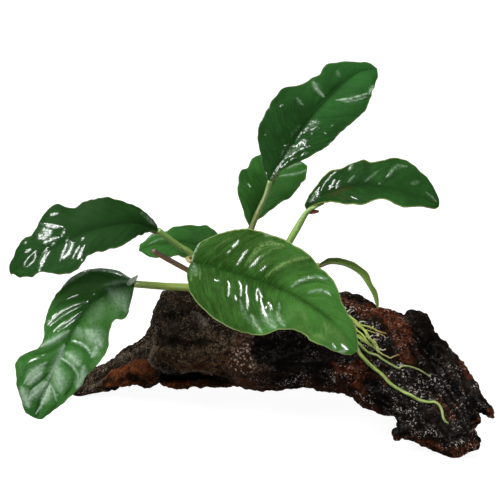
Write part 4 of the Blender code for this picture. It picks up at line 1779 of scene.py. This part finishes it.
YOUNG_LEAF = LeafFinish(
    deep=(0.18, 0.34, 0.055), fresh=(0.13, 0.27, 0.05), swelling=(0.42, 0.58, 0.16), under=(0.2, 0.34, 0.06), coat=0.3
)

FRONT_STROKES = strokes(Film.WET, (
    (1.1, 1, 0.25, 236.5, 265.5, 240, 260, 245, 253, 248.5, 250.5),
    (1.1, 1, 0.25, 249.5, 269, 255, 263, 259, 258.5, 263.5, 256),
    (0.9, 1, 0.25, 260, 272.5, 263, 269.5, 267, 266),
    (1.3, 0.9, 0.25, 232, 248, 235, 244.5, 239, 240.5),
    (0.7, 0.6, 0.15, 226, 255, 231, 250),
    (0.86, 0.9, 0.25, 228, 281, 229.8, 285, 229, 290, 228.5, 297),
    (0.86, 1, 0.25, 239.5, 282, 241.5, 286, 241, 296),
    (0.7, 1, 0.2, 235.5, 296, 236, 301.5),
    (1, 1, 0.25, 247.5, 284, 247, 294, 247.5, 300, 248, 310),
    (0.7, 1, 0.2, 258, 288, 257, 293, 257, 303),
    (1, 1, 0.25, 258.5, 287.5, 260.5, 292, 262, 298),
    (1.2, 1, 0.25, 261, 299, 262, 305, 264, 312, 267, 318),
    (0.62, 1, 0.2, 265, 309, 268, 306, 269, 302),
    (0.94, 1, 0.25, 270.5, 305, 271.5, 311.5),
    (0.62, 0.6, 0.15, 214, 279, 216, 281, 219, 281),
    (0.9, 1, 0.2, 332.5, 343, 334, 347, 336, 349),
    (1.5, 1, 0, 341.5, 344, 344, 347, 346.5, 350, 344, 351.5, 338, 352),
    (0.62, 1, 0.2, 324, 292, 328, 293, 331, 295.5),
    (0.8, 1, 0.2, 299, 282, 303, 280),
    (0.8, 1, 0.2, 308, 278.7, 312, 278),
    (0.7, 1, 0.2, 319, 277.5, 324, 278.7),
)) + strokes(Film.BLOOM, (
    (1.7, 1, 0, 341, 344, 345, 348, 344, 351, 338, 352),
    (1.1, 0.9, 0, 332.5, 343, 334, 347, 336, 350),
    (1.3, 1, 0.2, 200, 243, 196, 249, 193, 255, 192, 262),
    (3, 0.3, 0, 194, 264, 195, 270, 196, 276),
    (1.5, 0.6, 0.45, 291, 287.5, 297, 283, 303, 280, 310, 278, 318, 277, 327, 279),
    (1.3, 0.6, 0.4, 308, 293, 314, 291, 321, 290.5, 327, 292, 331, 295),
    (4.2, 0.6, 0.2, 262, 310, 268, 319, 276, 329),
    (2.4, 0.6, 0.2, 277, 312, 280, 320, 285, 327),
    (2.6, 0.6, 0.2, 251, 315, 256, 324, 262, 333),
    (2.2, 0.25, 0.1, 240, 300, 244, 312, 250, 324),
    (1.2, 0.45, 0.3, 279, 303, 279.5, 312),
    (2, 0.38, 0.2, 265, 233, 269, 237),
    (1, 0.3, 0.1, 248, 300, 248, 312),
)) + strokes(Film.LIGHT, (
    (7, 0.45, 0, 322, 325, 334, 332, 344, 341),
    (5, 0.25, 0, 290, 330, 302, 326, 312, 334),
    (2.4, 0.75, 0.45, 250, 262, 256, 252, 263, 246, 271, 243, 284, 246),
    (1.1, 0.5, 0.2, 256, 262, 264, 254.5, 274, 249, 288, 246),
    (1, 0.5, 0.3, 245, 266, 249, 260, 254, 253),
    (0.8, 0.4, 0.2, 258, 268, 264, 262, 270, 258),
    (1.9, 0.85, 0.5, 267, 276.5, 275, 270, 284, 264.5, 293, 260.5, 302, 258, 311, 257.5),
    (0.8, 0.3, 0.2, 262, 270, 268, 264, 276, 259),
    (4, 0.5, 0.3, 314, 336, 322, 337, 330, 343),
    (6, 0.2, 0, 288, 318, 300, 306, 306, 320),
    (1.4, 0.5, 0.3, 192, 270, 191, 282),
    (1, 0.4, 0.2, 201, 270, 200, 280),
    (1.2, 0.35, 0.3, 200, 248, 205, 242, 212, 238),
    (1.2, 0.25, 0.3, 215, 250, 222, 243, 230, 238),
    (2, 0.3, 0, 320, 262, 316, 266, 322, 272),
)) + strokes(Film.SHADE, (
    (4.4, 0.75, -0.1, 197, 262, 215, 267, 240, 275, 262, 283, 285, 290),
    (2.4, 0.6, -0.1, 280, 288, 300, 298, 318, 310, 332, 321),
    (0.9, 0.5, -0.2, 200, 258, 206, 251, 210, 246),
    (0.9, 0.45, -0.2, 209, 259, 216, 251, 222, 245),
    (1, 0.3, -0.2, 220, 262, 228, 252, 236, 245),
    (1.3, 0.4, -0.3, 293, 289, 304, 284, 318, 281.5, 330, 285),
    (1.3, 0.35, -0.3, 300, 298, 312, 296, 324, 296.5, 334, 300),
    (1.8, 0.25, -0.3, 272, 280, 284, 271, 298, 264, 314, 261),
    (1, 0.3, -0.2, 206, 275, 206, 290),
    (1, 0.25, -0.2, 222, 280, 222, 296, 225, 310),
))
TOP_STROKES = strokes(Film.SHADE, (
    (7, 0.5, 0, 268, 177, 273, 162, 283, 145, 294, 128, 303, 115),
    (6, 0.6, 0, 268, 170, 274, 158, 284, 147, 292, 138),
    (4, 0.5, 0, 302, 113, 313, 107, 324, 100),
    (1.6, 0.4, -0.2, 318, 104, 328, 95, 342, 82),
    (1.5, 0.3, -0.3, 342, 104, 356, 102.5, 368, 99),
    (1.4, 0.4, -0.3, 311, 86, 314, 92, 318, 97),
)) + strokes(Film.WET, (
    (0.7, 0.9, 0.1, 259, 133),
    (0.6, 0.7, 0.1, 269, 108.5),
    (0.5, 0.8, 0.1, 273, 150, 276, 147),
    (0.6, 0.9, 0.1, 282, 142, 284, 139.5),
    (0.6, 0.9, 0.1, 291, 134, 294, 130),
    (0.5, 0.8, 0.1, 297, 127, 300, 124.5),
    (1.2, 1, 0.2, 271, 179, 276, 171, 281, 164, 285, 159),
    (1.2, 1, 0.2, 284, 160, 288, 151, 290, 147),
    (1.2, 1, 0.2, 285, 159, 292, 155, 299, 151),
    (1, 1, 0.2, 291, 160, 297, 158),
    (1.5, 1, 0.2, 302, 155.5, 308, 152.5),
    (1.7, 1, 0.2, 291, 147, 296, 146, 300, 143, 304, 141, 308, 141),
    (0.9, 1, 0.2, 299, 150.5, 305, 148, 311, 146),
    (1.4, 1, 0.2, 303, 144, 308, 145.5),
    (1, 0.9, 0.1, 279, 168, 285, 165, 288, 162),
    (1.3, 1, 0.3, 285, 146.5),
    (1.6, 0.9, 0.2, 304, 133, 306, 129.5, 308, 127),
    (1.1, 0.8, 0.1, 291, 137, 295, 131, 300, 125),
    (1, 0.8, 0.1, 296, 141, 299, 136, 303, 131),
    (1, 0.7, 0.1, 280, 158, 284, 151, 289, 143),
    (1.6, 0.5, 0.1, 309, 125, 314, 122, 320, 122),
    (1.8, 0.45, 0.1, 311, 130, 320, 128),
    (0.9, 1, 0.3, 312.5, 134),
    (1.2, 1, 0.3, 332, 126),
    (0.8, 1, 0.3, 324, 131.5, 326, 134),
    (1.1, 0.9, 0.3, 281.5, 105.5),
    (1, 0.8, 0.3, 266, 135),
    (1.2, 1, 0.1, 266, 172, 267, 178),
    (1.3, 0.9, 0.2, 328, 146, 331, 141),
    (1.2, 0.9, 0.2, 268, 109, 270, 107),
)) + strokes(Film.BLOOM, (
    (2.4, 0.45, 0.3, 313, 82, 316, 87, 319, 92),
    (1.4, 0.95, 0.3, 316, 88, 320, 92.5, 324, 97),
    (0.9, 0.85, 0.35, 336, 100.5, 350, 98.8, 362, 95.5, 370, 92.5),
    (0.8, 0.6, 0.2, 345, 102, 356, 100.4, 367, 97),
    (2.8, 0.25, 0, 342, 101, 354, 99.5, 366, 96),
    (1.8, 0.75, 0.2, 369, 94, 372, 89, 374, 86),
    (1, 0.5, 0.3, 296, 97, 299, 101, 303, 106),
    (1.5, 0.26, 0.3, 337, 71, 340, 77),
    (2, 0.22, 0, 285, 160, 290, 154, 300, 146, 306, 142),
    (3, 0.15, 0, 305, 131, 312, 126, 320, 123),
)) + strokes(Film.LIGHT, (
    (3, 0.4, 0, 332, 68, 342, 65, 354, 64),
    (2.5, 0.3, 0, 299, 87, 308, 82, 315, 79),
    (1.8, 0.3, 0.2, 325, 141, 335, 137),
    (7, 0.3, 0, 330, 92, 345, 92, 362, 84),
    (6, 0.25, 0, 300, 100, 310, 110, 318, 120),
))
LEFT_UPPER_STROKES = strokes(Film.WET, (
    (1.7, 1, 0.3, 39, 223.5, 48, 225.5, 56, 227, 63, 227.5),
    (4.6, 1, 0, 40, 238, 45, 234, 50, 231),
    (2.4, 1, 0.3, 44, 243, 51, 241, 59, 238),
    (2, 1, 0.3, 48, 248, 44, 256, 41, 263, 39, 272),
    (0.9, 1, 0.2, 50, 251, 45, 259, 41, 268),
    (1, 1, 0.3, 36, 251.5, 30, 257, 25, 263, 24, 266.5, 27.5, 267.5),
    (1, 1, 0.3, 27, 267.5, 33, 262, 36, 256, 36.5, 251.5),
    (1.4, 0.9, 0.2, 25, 253, 31, 249.5),
    (1.2, 0.8, 0.2, 25, 243),
    (1.1, 0.9, 0.2, 50, 215.5, 58, 213.5),
    (1, 1, 0.2, 68, 237, 66, 246, 63, 254, 60.5, 261),
    (1.9, 1, 0.3, 70, 241, 73, 244, 72, 249, 68, 254, 63, 259),
    (0.9, 1, 0.2, 80, 246, 76, 253, 73, 259),
    (1.7, 1, 0.3, 85, 246, 82, 252, 78, 259),
    (0.8, 0.8, 0.1, 82, 241, 84, 237),
    (1, 0.9, 0.2, 65, 229, 62, 238),
    (1, 0.9, 0.2, 52, 246, 56, 243),
    (0.9, 0.9, 0.2, 82, 260),
    (1.2, 0.7, 0.2, 149, 218, 153, 224, 157, 227),
)) + strokes(Film.BLOOM, (
    (5, 0.22, 0, 40, 238, 45, 234, 52, 231),
    (2.4, 0.22, 0, 70, 242, 71, 250, 64, 258),
    (1.6, 0.26, 0.2, 141, 213, 147, 218, 153, 225),
)) + strokes(Film.LIGHT, (
    (2, 0.3, 0, 125, 207, 134, 210, 141, 215),
    (2.5, 0.4, 0, 18, 272, 28, 273),
    (3, 0.3, 0, 20, 245, 30, 236),
    (2.5, 0.3, 0, 50, 271, 66, 266, 80, 255),
)) + strokes(Film.SHADE, (
    (3, 0.6, -0.1, 154, 228, 130, 226, 108, 224, 92, 227, 78, 233),
    (4, 0.4, 0, 56, 221, 68, 226, 76, 236),
    (1.4, 0.5, -0.3, 44, 229, 52, 229, 60, 232),
    (2.5, 0.4, -0.3, 56, 248, 52, 258, 48, 266),
    (2, 0.4, 0, 120, 215, 135, 219, 148, 224),
))
LEFT_LOWER_STROKES = strokes(Film.WET, (
    (1.3, 1, 0.4, 47, 326, 54, 319, 62, 312, 72, 306, 82, 303, 88, 302),
    (0.8, 1, 0.2, 51, 321, 53, 317, 57, 313.5),
    (1.9, 1, 0.2, 47.5, 325.5, 50, 323, 54, 320),
    (0.9, 1, 0.3, 50, 326, 57, 321, 64, 315.5, 73, 310.5, 81, 306),
    (1.4, 1, 0.4, 54, 331.5, 62, 325, 72, 319, 81, 312),
    (0.8, 0.9, 0.3, 58, 331, 66, 327, 74, 321, 80, 315),
    (0.8, 0.8, 0.3, 66, 300, 72, 297, 79, 294),
    (0.8, 0.7, 0.2, 93, 295, 96, 293.5),
    (0.9, 1, 0.2, 28, 363, 33, 360, 40, 358),
    (1.3, 1, 0.2, 46, 363),
    (0.8, 0.8, 0.2, 43.5, 355.5),
    (1.2, 1, 0.2, 58, 395.5),
    (0.9, 1, 0, 74, 341, 77, 342),
    (1.3, 0.9, 0, 61, 287.5, 68, 281, 78, 276, 88, 271, 100, 269, 112, 271, 128, 278),
)) + strokes(Film.BLOOM, (
    (1.6, 0.5, 0.3, 61, 287.5, 68, 281.5, 78, 276, 90, 270.5),
    (1.8, 0.75, 0.3, 90, 270, 100, 269, 112, 271, 120, 273.5, 129, 278.5),
    (5, 0.75, 0, 22, 388, 25, 397, 29, 406),
    (4, 0.65, 0.2, 27, 380, 34, 373, 44, 365),
    (1.2, 0.6, 0.3, 24, 384, 28, 377, 34, 371, 41, 366, 46, 363),
    (3.8, 0.95, 0.25, 29, 399, 38, 390, 47, 382),
    (3.4, 0.75, 0.2, 28, 384, 34, 378, 42, 372),
    (4.2, 0.78, 0.15, 42, 404, 47, 394, 50, 386),
    (1.2, 0.7, 0.2, 45, 400, 41, 407, 36, 414),
    (6.5, 0.5, 0.35, 57, 367, 59, 378, 61, 391),
    (4.5, 0.55, 0.35, 67, 353, 73, 358, 80, 365),
    (1.1, 0.8, 0.5, 60, 357.5, 66, 360.5, 73, 366, 78, 374, 79, 380),
    (4, 0.55, 0.2, 84, 366, 83, 376, 77, 388),
    (7.5, 0.5, 0.35, 87, 331, 94, 337, 101, 345),
    (3, 0.6, 0.15, 97, 346, 95, 352, 92, 357),
    (1.1, 0.9, 0.55, 72, 340.5, 80, 343, 87, 347.5, 91, 354),
    (1, 0.65, 0.3, 50, 383, 54, 390.5, 57, 401),
    (2.6, 0.6, 0.4, 41, 346.5, 52, 341, 62, 335.5, 69, 331),
    (3.2, 0.55, 0, 64, 345, 60, 356, 55, 367, 48, 380),
    (9, 0.33, 0.2, 110, 290, 121, 299, 126, 310),
    (2.4, 0.3, 0, 104, 285, 120, 281.5, 130, 281),
    (8, 0.12, 0, 102, 300, 97, 312, 90, 323),
    (6, 0.25, 0, 78, 328, 82, 338),
)) + strokes(Film.LIGHT, (
    (6, 0.35, 0, 72, 288, 90, 284, 110, 284),
    (8, 0.25, 0, 100, 305, 110, 312, 118, 318),
    (4, 0.3, 0, 102, 350, 98, 362, 90, 368),
    (3, 0.3, 0, 20, 362, 22, 376),
)) + strokes(Film.SHADE, (
    (3, 0.5, -0.6, 70, 345, 80, 349, 88, 355, 91, 363),
    (3, 0.45, -0.6, 62, 363, 70, 369, 74, 377, 72, 388, 66, 395),
    (1.3, 0.6, -0.6, 30, 390, 39, 383, 49, 373),
    (1.7, 0.6, -0.4, 43, 394, 39, 404, 36, 412),
    (2.4, 0.5, -0.3, 96, 273, 110, 276, 124, 278.5),
    (4, 0.4, -0.2, 28, 352, 42, 353, 56, 347),
    (3, 0.35, -0.2, 104, 288, 94, 298, 82, 312, 74, 328),
    (2.5, 0.35, -0.2, 56, 308, 66, 303, 76, 299),
))
RIGHT_STROKES = strokes(Film.WET, (
    (2.2, 1, 0.2, 310, 203, 314, 197, 319, 192),
    (1.6, 1, 0.2, 317, 199, 319, 194),
    (1, 1, 0.2, 314, 194, 320, 187.5),
    (0.9, 1, 0.2, 321, 190.5, 326, 182, 331, 175.5, 336, 172),
    (1.6, 1, 0.2, 329, 190, 333, 184, 335, 180),
    (1.6, 1, 0.2, 336, 188, 338, 185, 340, 181),
    (0.6, 0.8, 0.2, 351, 196.5, 355, 198.5, 358, 199.5),
    (0.6, 0.7, 0.2, 386, 178, 391, 172.5),
    (0.6, 0.7, 0.2, 349.5, 170, 352, 165.5),
    (0.9, 0.7, 0.2, 379.5, 183.5),
)) + strokes(Film.BLOOM, (
    (2.2, 0.22, 0, 312, 202, 316, 197, 320, 192),
    (1.6, 0.34, 0.3, 349, 171, 352.5, 164),
    (1, 0.3, 0.2, 348, 183, 351, 179, 355, 176),
    (1, 0.26, 0.25, 365, 182, 372, 176.5, 379, 171),
    (1.6, 0.38, 0.4, 388, 177, 393, 170, 398, 166.5, 407, 167),
    (1.8, 0.26, 0.2, 411, 184, 419, 182),
    (1, 0.41, 0.25, 426, 192.5, 431, 196.5, 436, 202),
)) + strokes(Film.LIGHT, (
    (2.4, 0.7, 0.2, 401, 160, 410, 164, 416, 170),
    (1.2, 1, 0, 420, 175, 430, 186, 437, 197, 439, 207),
    (3, 0.35, 0, 392, 159, 396, 163),
    (2.5, 0.35, 0, 355, 162, 362, 163),
    (3, 0.35, 0, 425, 203, 434, 205),
    (1.4, 0.4, 0, 340, 204, 350, 204, 362, 204),
    (3, 0.3, 0.2, 372, 172, 380, 177, 384, 186),
    (2.5, 0.3, 0.2, 352, 176, 358, 170, 364, 167),
    (1.2, 1, 0, 312, 206.5, 320, 204.5, 330, 202),
)) + strokes(Film.BROWN, (
    (2.8, 0.5, 0, 328, 197, 337, 193, 346, 189, 354, 187),
    (3, 0.3, 0, 340, 198, 350, 199),
)) + strokes(Film.SHADE, (
    (2.6, 0.55, -0.1, 347, 187, 362, 188, 374, 187, 386, 192),
    (2.6, 0.45, -0.3, 384, 184, 392, 177, 402, 173),
    (3, 0.3, 0, 390, 194, 404, 196, 418, 198),
    (1.6, 0.6, 0, 318, 181, 312, 190, 306, 200),
))
BACK_STROKES = strokes(Film.BLOOM, (
    (1.1, 0.45, 0.35, 280, 176.5, 291, 175, 299, 173.5, 308, 170),
    (1.2, 0.38, 0.2, 284, 169, 294, 165.5, 304, 163),
)) + strokes(Film.LIGHT, (
    (1, 0.4, 0.25, 283, 181, 292, 180, 300, 178),
    (2.5, 0.4, 0, 300, 168, 306, 170),
)) + strokes(Film.WET, (
    (1.2, 1, 0.2, 263, 221.5, 266, 218, 270, 214.5),
    (1, 0.5, 0.3, 248, 184, 252, 188),
)) + strokes(Film.SHADE, (
    (1.8, 0.5, -0.1, 262, 200, 268, 190, 276, 181),
    (2.5, 0.35, 0, 246, 200, 252, 212),
))
LEFT_BACK_STROKES = strokes(Film.BLOOM, (
    (1.2, 0.38, 0.25, 145, 240, 152, 236, 160, 234),
    (1, 0.3, 0.25, 148, 245, 158, 240, 168, 238),
)) + strokes(Film.LIGHT, (
    (1.2, 0.35, 0.2, 170, 232, 184, 231, 196, 233),
)) + strokes(Film.SHADE, (
    (1.6, 0.5, -0.1, 160, 246, 176, 242, 194, 240),
))
YOUNG_STROKES = strokes(Film.LIGHT, (
    (3, 1, 0, 315, 263.5, 322, 261, 330, 259),
    (0.9, 0.7, 0, 331, 257.8, 343, 258.4, 355, 264, 366, 275, 375, 290, 380, 305),
))

LEAVES = (
    Leaf(
        name="leaf_top",
        rib=((10, 20, 124), (20, 24, 139), (31, 28, 155), (43, 33, 167), (54, 38, 175), (64, 42, 176)),
        across=((0.9, -0.2, 0.3), (0.8, -0.3, -0.5), (0.7, -0.3, -0.6)),
        right=(
            1, 1, 1, 1.5, 3, 5, 7.5, 10.5, 13, 15.5, 16.5, 16.5, 17.5, 18, 18, 17.5, 15.5, 14, 12.5, 11, 7.5, 5, 1.5,
        ),
        left=(1.5, 3.5, 6, 8.5, 11, 14.5, 17.5, 19.5, 20, 21, 21, 20, 15, 13.5, 12, 13, 10.5, 7.5, 5, 4.5, 3.5, 2, 1),
        fold=10, quilt=0.1, finish=TOP_LEAF, strokes=TOP_STROKES, seed=1.0,
    ),
    Leaf(
        name="leaf_right",
        rib=((28, 15, 111), (38, 12, 120), (50, 8, 125), (62, 4, 127), (75, 2, 125), (86, 2, 121), (94, 4, 116)),
        across=((0.3, -0.8, -0.4), (0, -0.8, -0.45), (0, -0.8, -0.45)),
        right=(1, 1, 1.5, 2.5, 4, 5.5, 7.5, 9.5, 12.5, 14.5, 14.5, 16, 13.5, 12, 13.5, 14, 11.5, 9, 7.5, 6, 4, 2.5, 1),
        left=(
            2, 2.5, 3.5, 4.8, 5.6, 7, 9, 10.5, 10.5, 13.2, 14.2, 12.5, 14.2, 17.5, 17.8, 16.3, 13.7, 12.7, 11, 9, 7, 5,
            3.5,
        ),
        fold=14, quilt=0.14, wave=0.9, rib_radius=1.6, finish=RIGHT_LEAF, strokes=RIGHT_STROKES, seed=2.0,
    ),
    Leaf(
        name="leaf_left_upper", nicks=0.75,
        rib=(
            (-46, 2, 104.2), (-57, -4, 110), (-69, -8, 110), (-82, -10, 106.8), (-94, -12, 101.7), (-107, -13, 94.6),
            (-119, -12, 86.2),
        ),
        across=((0, 0.8, 0.45), (-0.1, 0.8, 0.5), (-0.2, 0.8, 0.4)),
        right=(
            2.5, 3.5, 5.5, 7, 8.5, 10.5, 12.5, 15, 16.5, 17.5, 18.5, 17.5, 22.5, 22, 20, 16, 14, 14, 12, 10, 7.5, 5,
            3.5,
        ),
        left=(1, 1.5, 2, 3.5, 5, 7.5, 10, 13, 15, 15, 15, 16, 19.5, 21.5, 20, 16.5, 12, 12, 9, 7, 4, 1.5, 1),
        fold=5, quilt=0.12, wave=1.0, finish=LEFT_LEAF, strokes=LEFT_UPPER_STROKES, seed=3.0,
    ),
    Leaf(
        name="leaf_left_lower",
        rib=(
            (-58, -5, 78), (-67, -9, 78), (-77, -14, 73), (-84, -20, 65), (-91, -25, 53), (-97, -28, 41),
            (-102, -29, 28), (-106.5, -28, 14.8),
        ),
        across=((-0.2, 0.6, 0.8), (-0.8, 0.4, 0.35), (-0.9, 0.35, 0)),
        right=(
            2, 3, 4.5, 7, 9.5, 12.5, 15, 16.5, 16.5, 17, 16.5, 15, 12, 12.3, 18, 20, 17.6, 15.5, 13, 10.5, 9, 7.5, 6,
        ),
        left=(
            1.5, 4, 8.5, 12.5, 14.5, 17, 18, 16, 15.3, 16.8, 20.3, 21.3, 19.8, 17.3, 17, 15, 12.5, 10, 7.5, 5.5, 4, 3,
            1.5,
        ),
        fold=8, quilt=0.45, veins=7.0, strokes=LEFT_LOWER_STROKES, seed=4.0, finish=LOWER_LEAF,
    ),
    Leaf(
        name="leaf_front",
        rib=(
            (-29, -14, 93), (-20, -20, 93), (-9, -27, 92), (3, -34, 91), (16, -41, 88), (27, -47, 84), (39, -52, 77),
            (47, -55, 69), (52, -56, 63),
        ),
        across=((-0.5, -0.5, -0.8), (0.1, -0.6, -0.8), (-0.4, -0.5, -0.7)),
        right=(
            5.5, 8.5, 11.5, 15.5, 18, 20.5, 22.5, 25, 26.5, 27.5, 27, 26, 24, 18.5, 15, 14, 15, 13.5, 11.5, 9.5, 7.5,
            5.5, 4,
        ),
        left=(
            8.5, 10.5, 12.5, 14.5, 17, 19.5, 21.5, 23, 23.5, 23.5, 23.5, 22.5, 21.5, 18.5, 17.5, 14, 9.5, 8, 7, 5.5,
            3.5, 2, 1,
        ),
        fold=8, veins=13.0, quilt=0.25, strokes=FRONT_STROKES, seed=5.0, finish=FRONT_LEAF,
    ),
    Leaf(
        name="leaf_back",
        rib=((0, 34, 94), (4, 42, 101), (9, 52, 108), (15, 62, 115), (21, 70, 121)),
        across=((0.9, -0.2, -0.1), (0.9, -0.3, -0.2), (0.8, -0.4, -0.2)),
        right=(1, 1, 1, 2, 2.5, 4, 5.5, 7, 9, 11, 13, 14, 15.5, 16, 15.5, 16.5, 15.5, 15, 14, 12.5, 8, 4, 2),
        left=(1, 1, 2, 3.5, 5, 6.5, 8.5, 11, 13, 14.5, 15.5, 16.5, 16.5, 15, 15.5, 15, 13.5, 12, 11, 10, 8, 6.5, 5.5),
        fold=14, veins=8.0, quilt=0.2, strokes=BACK_STROKES, seed=6.0, finish=BACK_LEAF,
    ),
    Leaf(
        name="leaf_left_back",
        rib=((-11, 31, 83), (-22, 36, 83), (-33, 40, 84), (-44, 41, 83), (-51, 40, 82), (-57, 38, 80)),
        across=((0, 0.9, 0.35), (0, 0.9, 0.4), (-0.1, 0.9, 0.4)),
        right=(1, 1, 2.5, 4.5, 6, 7.5, 9, 10.5, 11.5, 12, 11.5, 10.5, 10, 9, 8, 7.5, 7, 5.5, 4, 3.5, 3, 1.5, 1),
        left=(
            1, 6.5, 7.5, 8.5, 9.5, 10, 10.5, 11.5, 12.5, 13.5, 14, 13.5, 13.5, 13.5, 13.5, 13.5, 13, 13, 12.5, 11, 8.5,
            3, 1,
        ),
        fold=12, veins=8.0, quilt=0.2, strokes=LEFT_BACK_STROKES, seed=7.0, finish=BACK_LEAF,
    ),
    Leaf(
        name="leaf_young",
        rib=(
            (35, 20, 79.5), (41, 18, 82), (48.8, 14, 81.8), (55.8, 10, 78.4), (60, 7, 72.8), (62.5, 5, 68),
            (64.4, 3.5, 61.5),
        ),
        across=((0.1, -0.94, 0.34), (0.1, -0.94, 0.34), (0.1, -0.94, 0.34)),
        right=(1, 2, 3.5, 5, 6, 6.5, 6, 5.5, 4.5, 3, 1.5),
        left=(1, 2, 3.5, 5, 6, 6.5, 6, 5.5, 4.5, 3, 1.5),
        fold=16, slot="young_leaf", rows=110, columns=40, quilt=0.15, ruffle=0.4, rib_radius=0.8,
        strokes=YOUNG_STROKES, seed=8.0, finish=YOUNG_LEAF,
    ),
)

GREEN_STEM = StemFinish()
BRIGHT_STEM = StemFinish(foot=(0.2, 0.13, 0.04), top=(0.24, 0.42, 0.085), foot_ends=0.6)
BROWN_STEM = StemFinish(foot=(0.16, 0.085, 0.028), top=(0.17, 0.28, 0.065), foot_ends=1.15)
OLIVE_STEM = StemFinish(foot=(0.2, 0.14, 0.035), top=(0.42, 0.58, 0.12), foot_ends=0.5)
OLD_STEM = StemFinish(
    foot=(0.17, 0.1, 0.05),
    top=(0.15, 0.1, 0.07),
    foot_ends=0.9,
    rough=0.45,
    belly=(0.38, 0.17, 0.045),
    cut=(0.55, 0.45, 0.3),
)
GREY_STEM = StemFinish(foot=(0.14, 0.3, 0.12), top=(0.4, 0.5, 0.34), rough=0.5, coat=0.0)
BRACT = StemFinish(foot=(0.26, 0.04, 0.006), top=(0.4, 0.045, 0.008), rough=0.9, streak=0.2, coat=0.0)

STEMS = (
    Stem(
        "stem_top",
        ((-2, 16, 70), (-1, 17, 91), (1, 18, 100), (4, 18, 108), (8, 19, 117), (10, 20, 124)),
        (1.9, 1.7, 1.5), BROWN_STEM,
    ),
    Stem(
        "stem_right",
        (
            (12.5, 13, 69), (16, 13, 85.5), (20.2, 14, 94.5), (23.2, 14, 100), (28.3, 13.6, 109.2), (32.2, 12, 112.7),
            (37, 9.5, 115.8),
        ),
        (1.9, 1.9, 2.1, 2.1, 1.5, 0.5), BRIGHT_STEM,
    ),
    Stem(
        "stem_left_upper",
        ((-14, 17, 70), (-21, 12, 79), (-30.5, 8, 90), (-36, 6, 94.5), (-46, 2, 104)),
        (1.9, 1.6, 1.5), BRIGHT_STEM, slimness=1.0,
    ),
    Stem(
        "stem_left_lower",
        ((-22, 18, 67), (-25.5, 13, 68), (-31.5, 8, 71), (-43, 2, 74), (-58, -5, 78)),
        (1.9, 1.7, 1.6), OLIVE_STEM, slimness=1.12,
    ),
    Stem(
        "stem_front",
        ((-7, 17, 71), (-12, 8, 80), (-20, 2, 88), (-27, -5, 92), (-31, -10.5, 93.5), (-29, -14, 93)),
        (2.1, 1.7, 1.1),
        StemFinish(foot=(0.16, 0.28, 0.05), top=(0.3, 0.27, 0.07), foot_ends=1.1, coat=0.0, rough=0.6),
    ),
    Stem("stem_back", ((3, 17, 70), (4, 25, 77), (2, 30, 86), (0, 34, 94)), (1.7, 1.5, 1.3)),
    Stem("stem_left_back", ((-8, 18, 70), (-10, 25, 74), (-11, 28, 79), (-11, 31, 83)), (1.5, 1.4, 1.2)),
    Stem(
        "stem_young",
        ((24, 11, 68), (28, 14, 73), (31, 17, 77), (35, 20, 79.5)),
        (1.6, 1.4, 1.2),
        StemFinish(foot=(0.2, 0.3, 0.06), top=(0.34, 0.48, 0.12)),
    ),
    Stem(
        "dried_bract",
        ((29.8, 14.1, 109.2), (32, 13.4, 109.9), (34.6, 13, 110.3)),
        (0.7, 0.95, 0.5), BRACT, "bract", 1.1,
    ),
    Stem(
        "stem_cut",
        ((-18, 18, 69), (-23, 14, 72.5), (-32, 10, 80), (-41, 7, 86.5), (-49, 4, 92.5)),
        (1.5, 1.3, 1.3), OLD_STEM, "old_stem", 1.05,
    ),
    Stem(
        "leaf_heel",
        ((-61.5, -6.2, 78.4), (-59.6, -6, 79.6), (-57.6, -5.2, 81), (-56.2, -4.6, 82.4)),
        (1.7, 1.6, 0.5), GREY_STEM, stands_for_node=False,
    ),
)

RHIZOME = (
    (-25, 20, 69),
    (-12, 17, 70.5),
    (0, 16, 70.5),
    (12, 14, 70),
    (23, 11, 68.5),
    (33, 4, 65),
    (40, -6, 57),
    (43, -12, 50),
)


def main() -> None:
    """Builds the studio and every piece in order."""
    logging.basicConfig(level=logging.INFO, format="%(name)s: %(message)s")
    Studio().build()
    groups = LeafGroups()
    for leaf in LEAVES:
        leaf.build(groups)
        leaf.build_midrib(GREEN_STEM)
    for stem in STEMS:
        stem.build()
    _, surface = Driftwood(marks=WOOD_MARKS, spurs=WOOD_SPURS).build()
    Rhizome(RHIZOME).build()
    for root in ROOTS:
        root.build(surface)


if __name__ == "__main__":
    main()
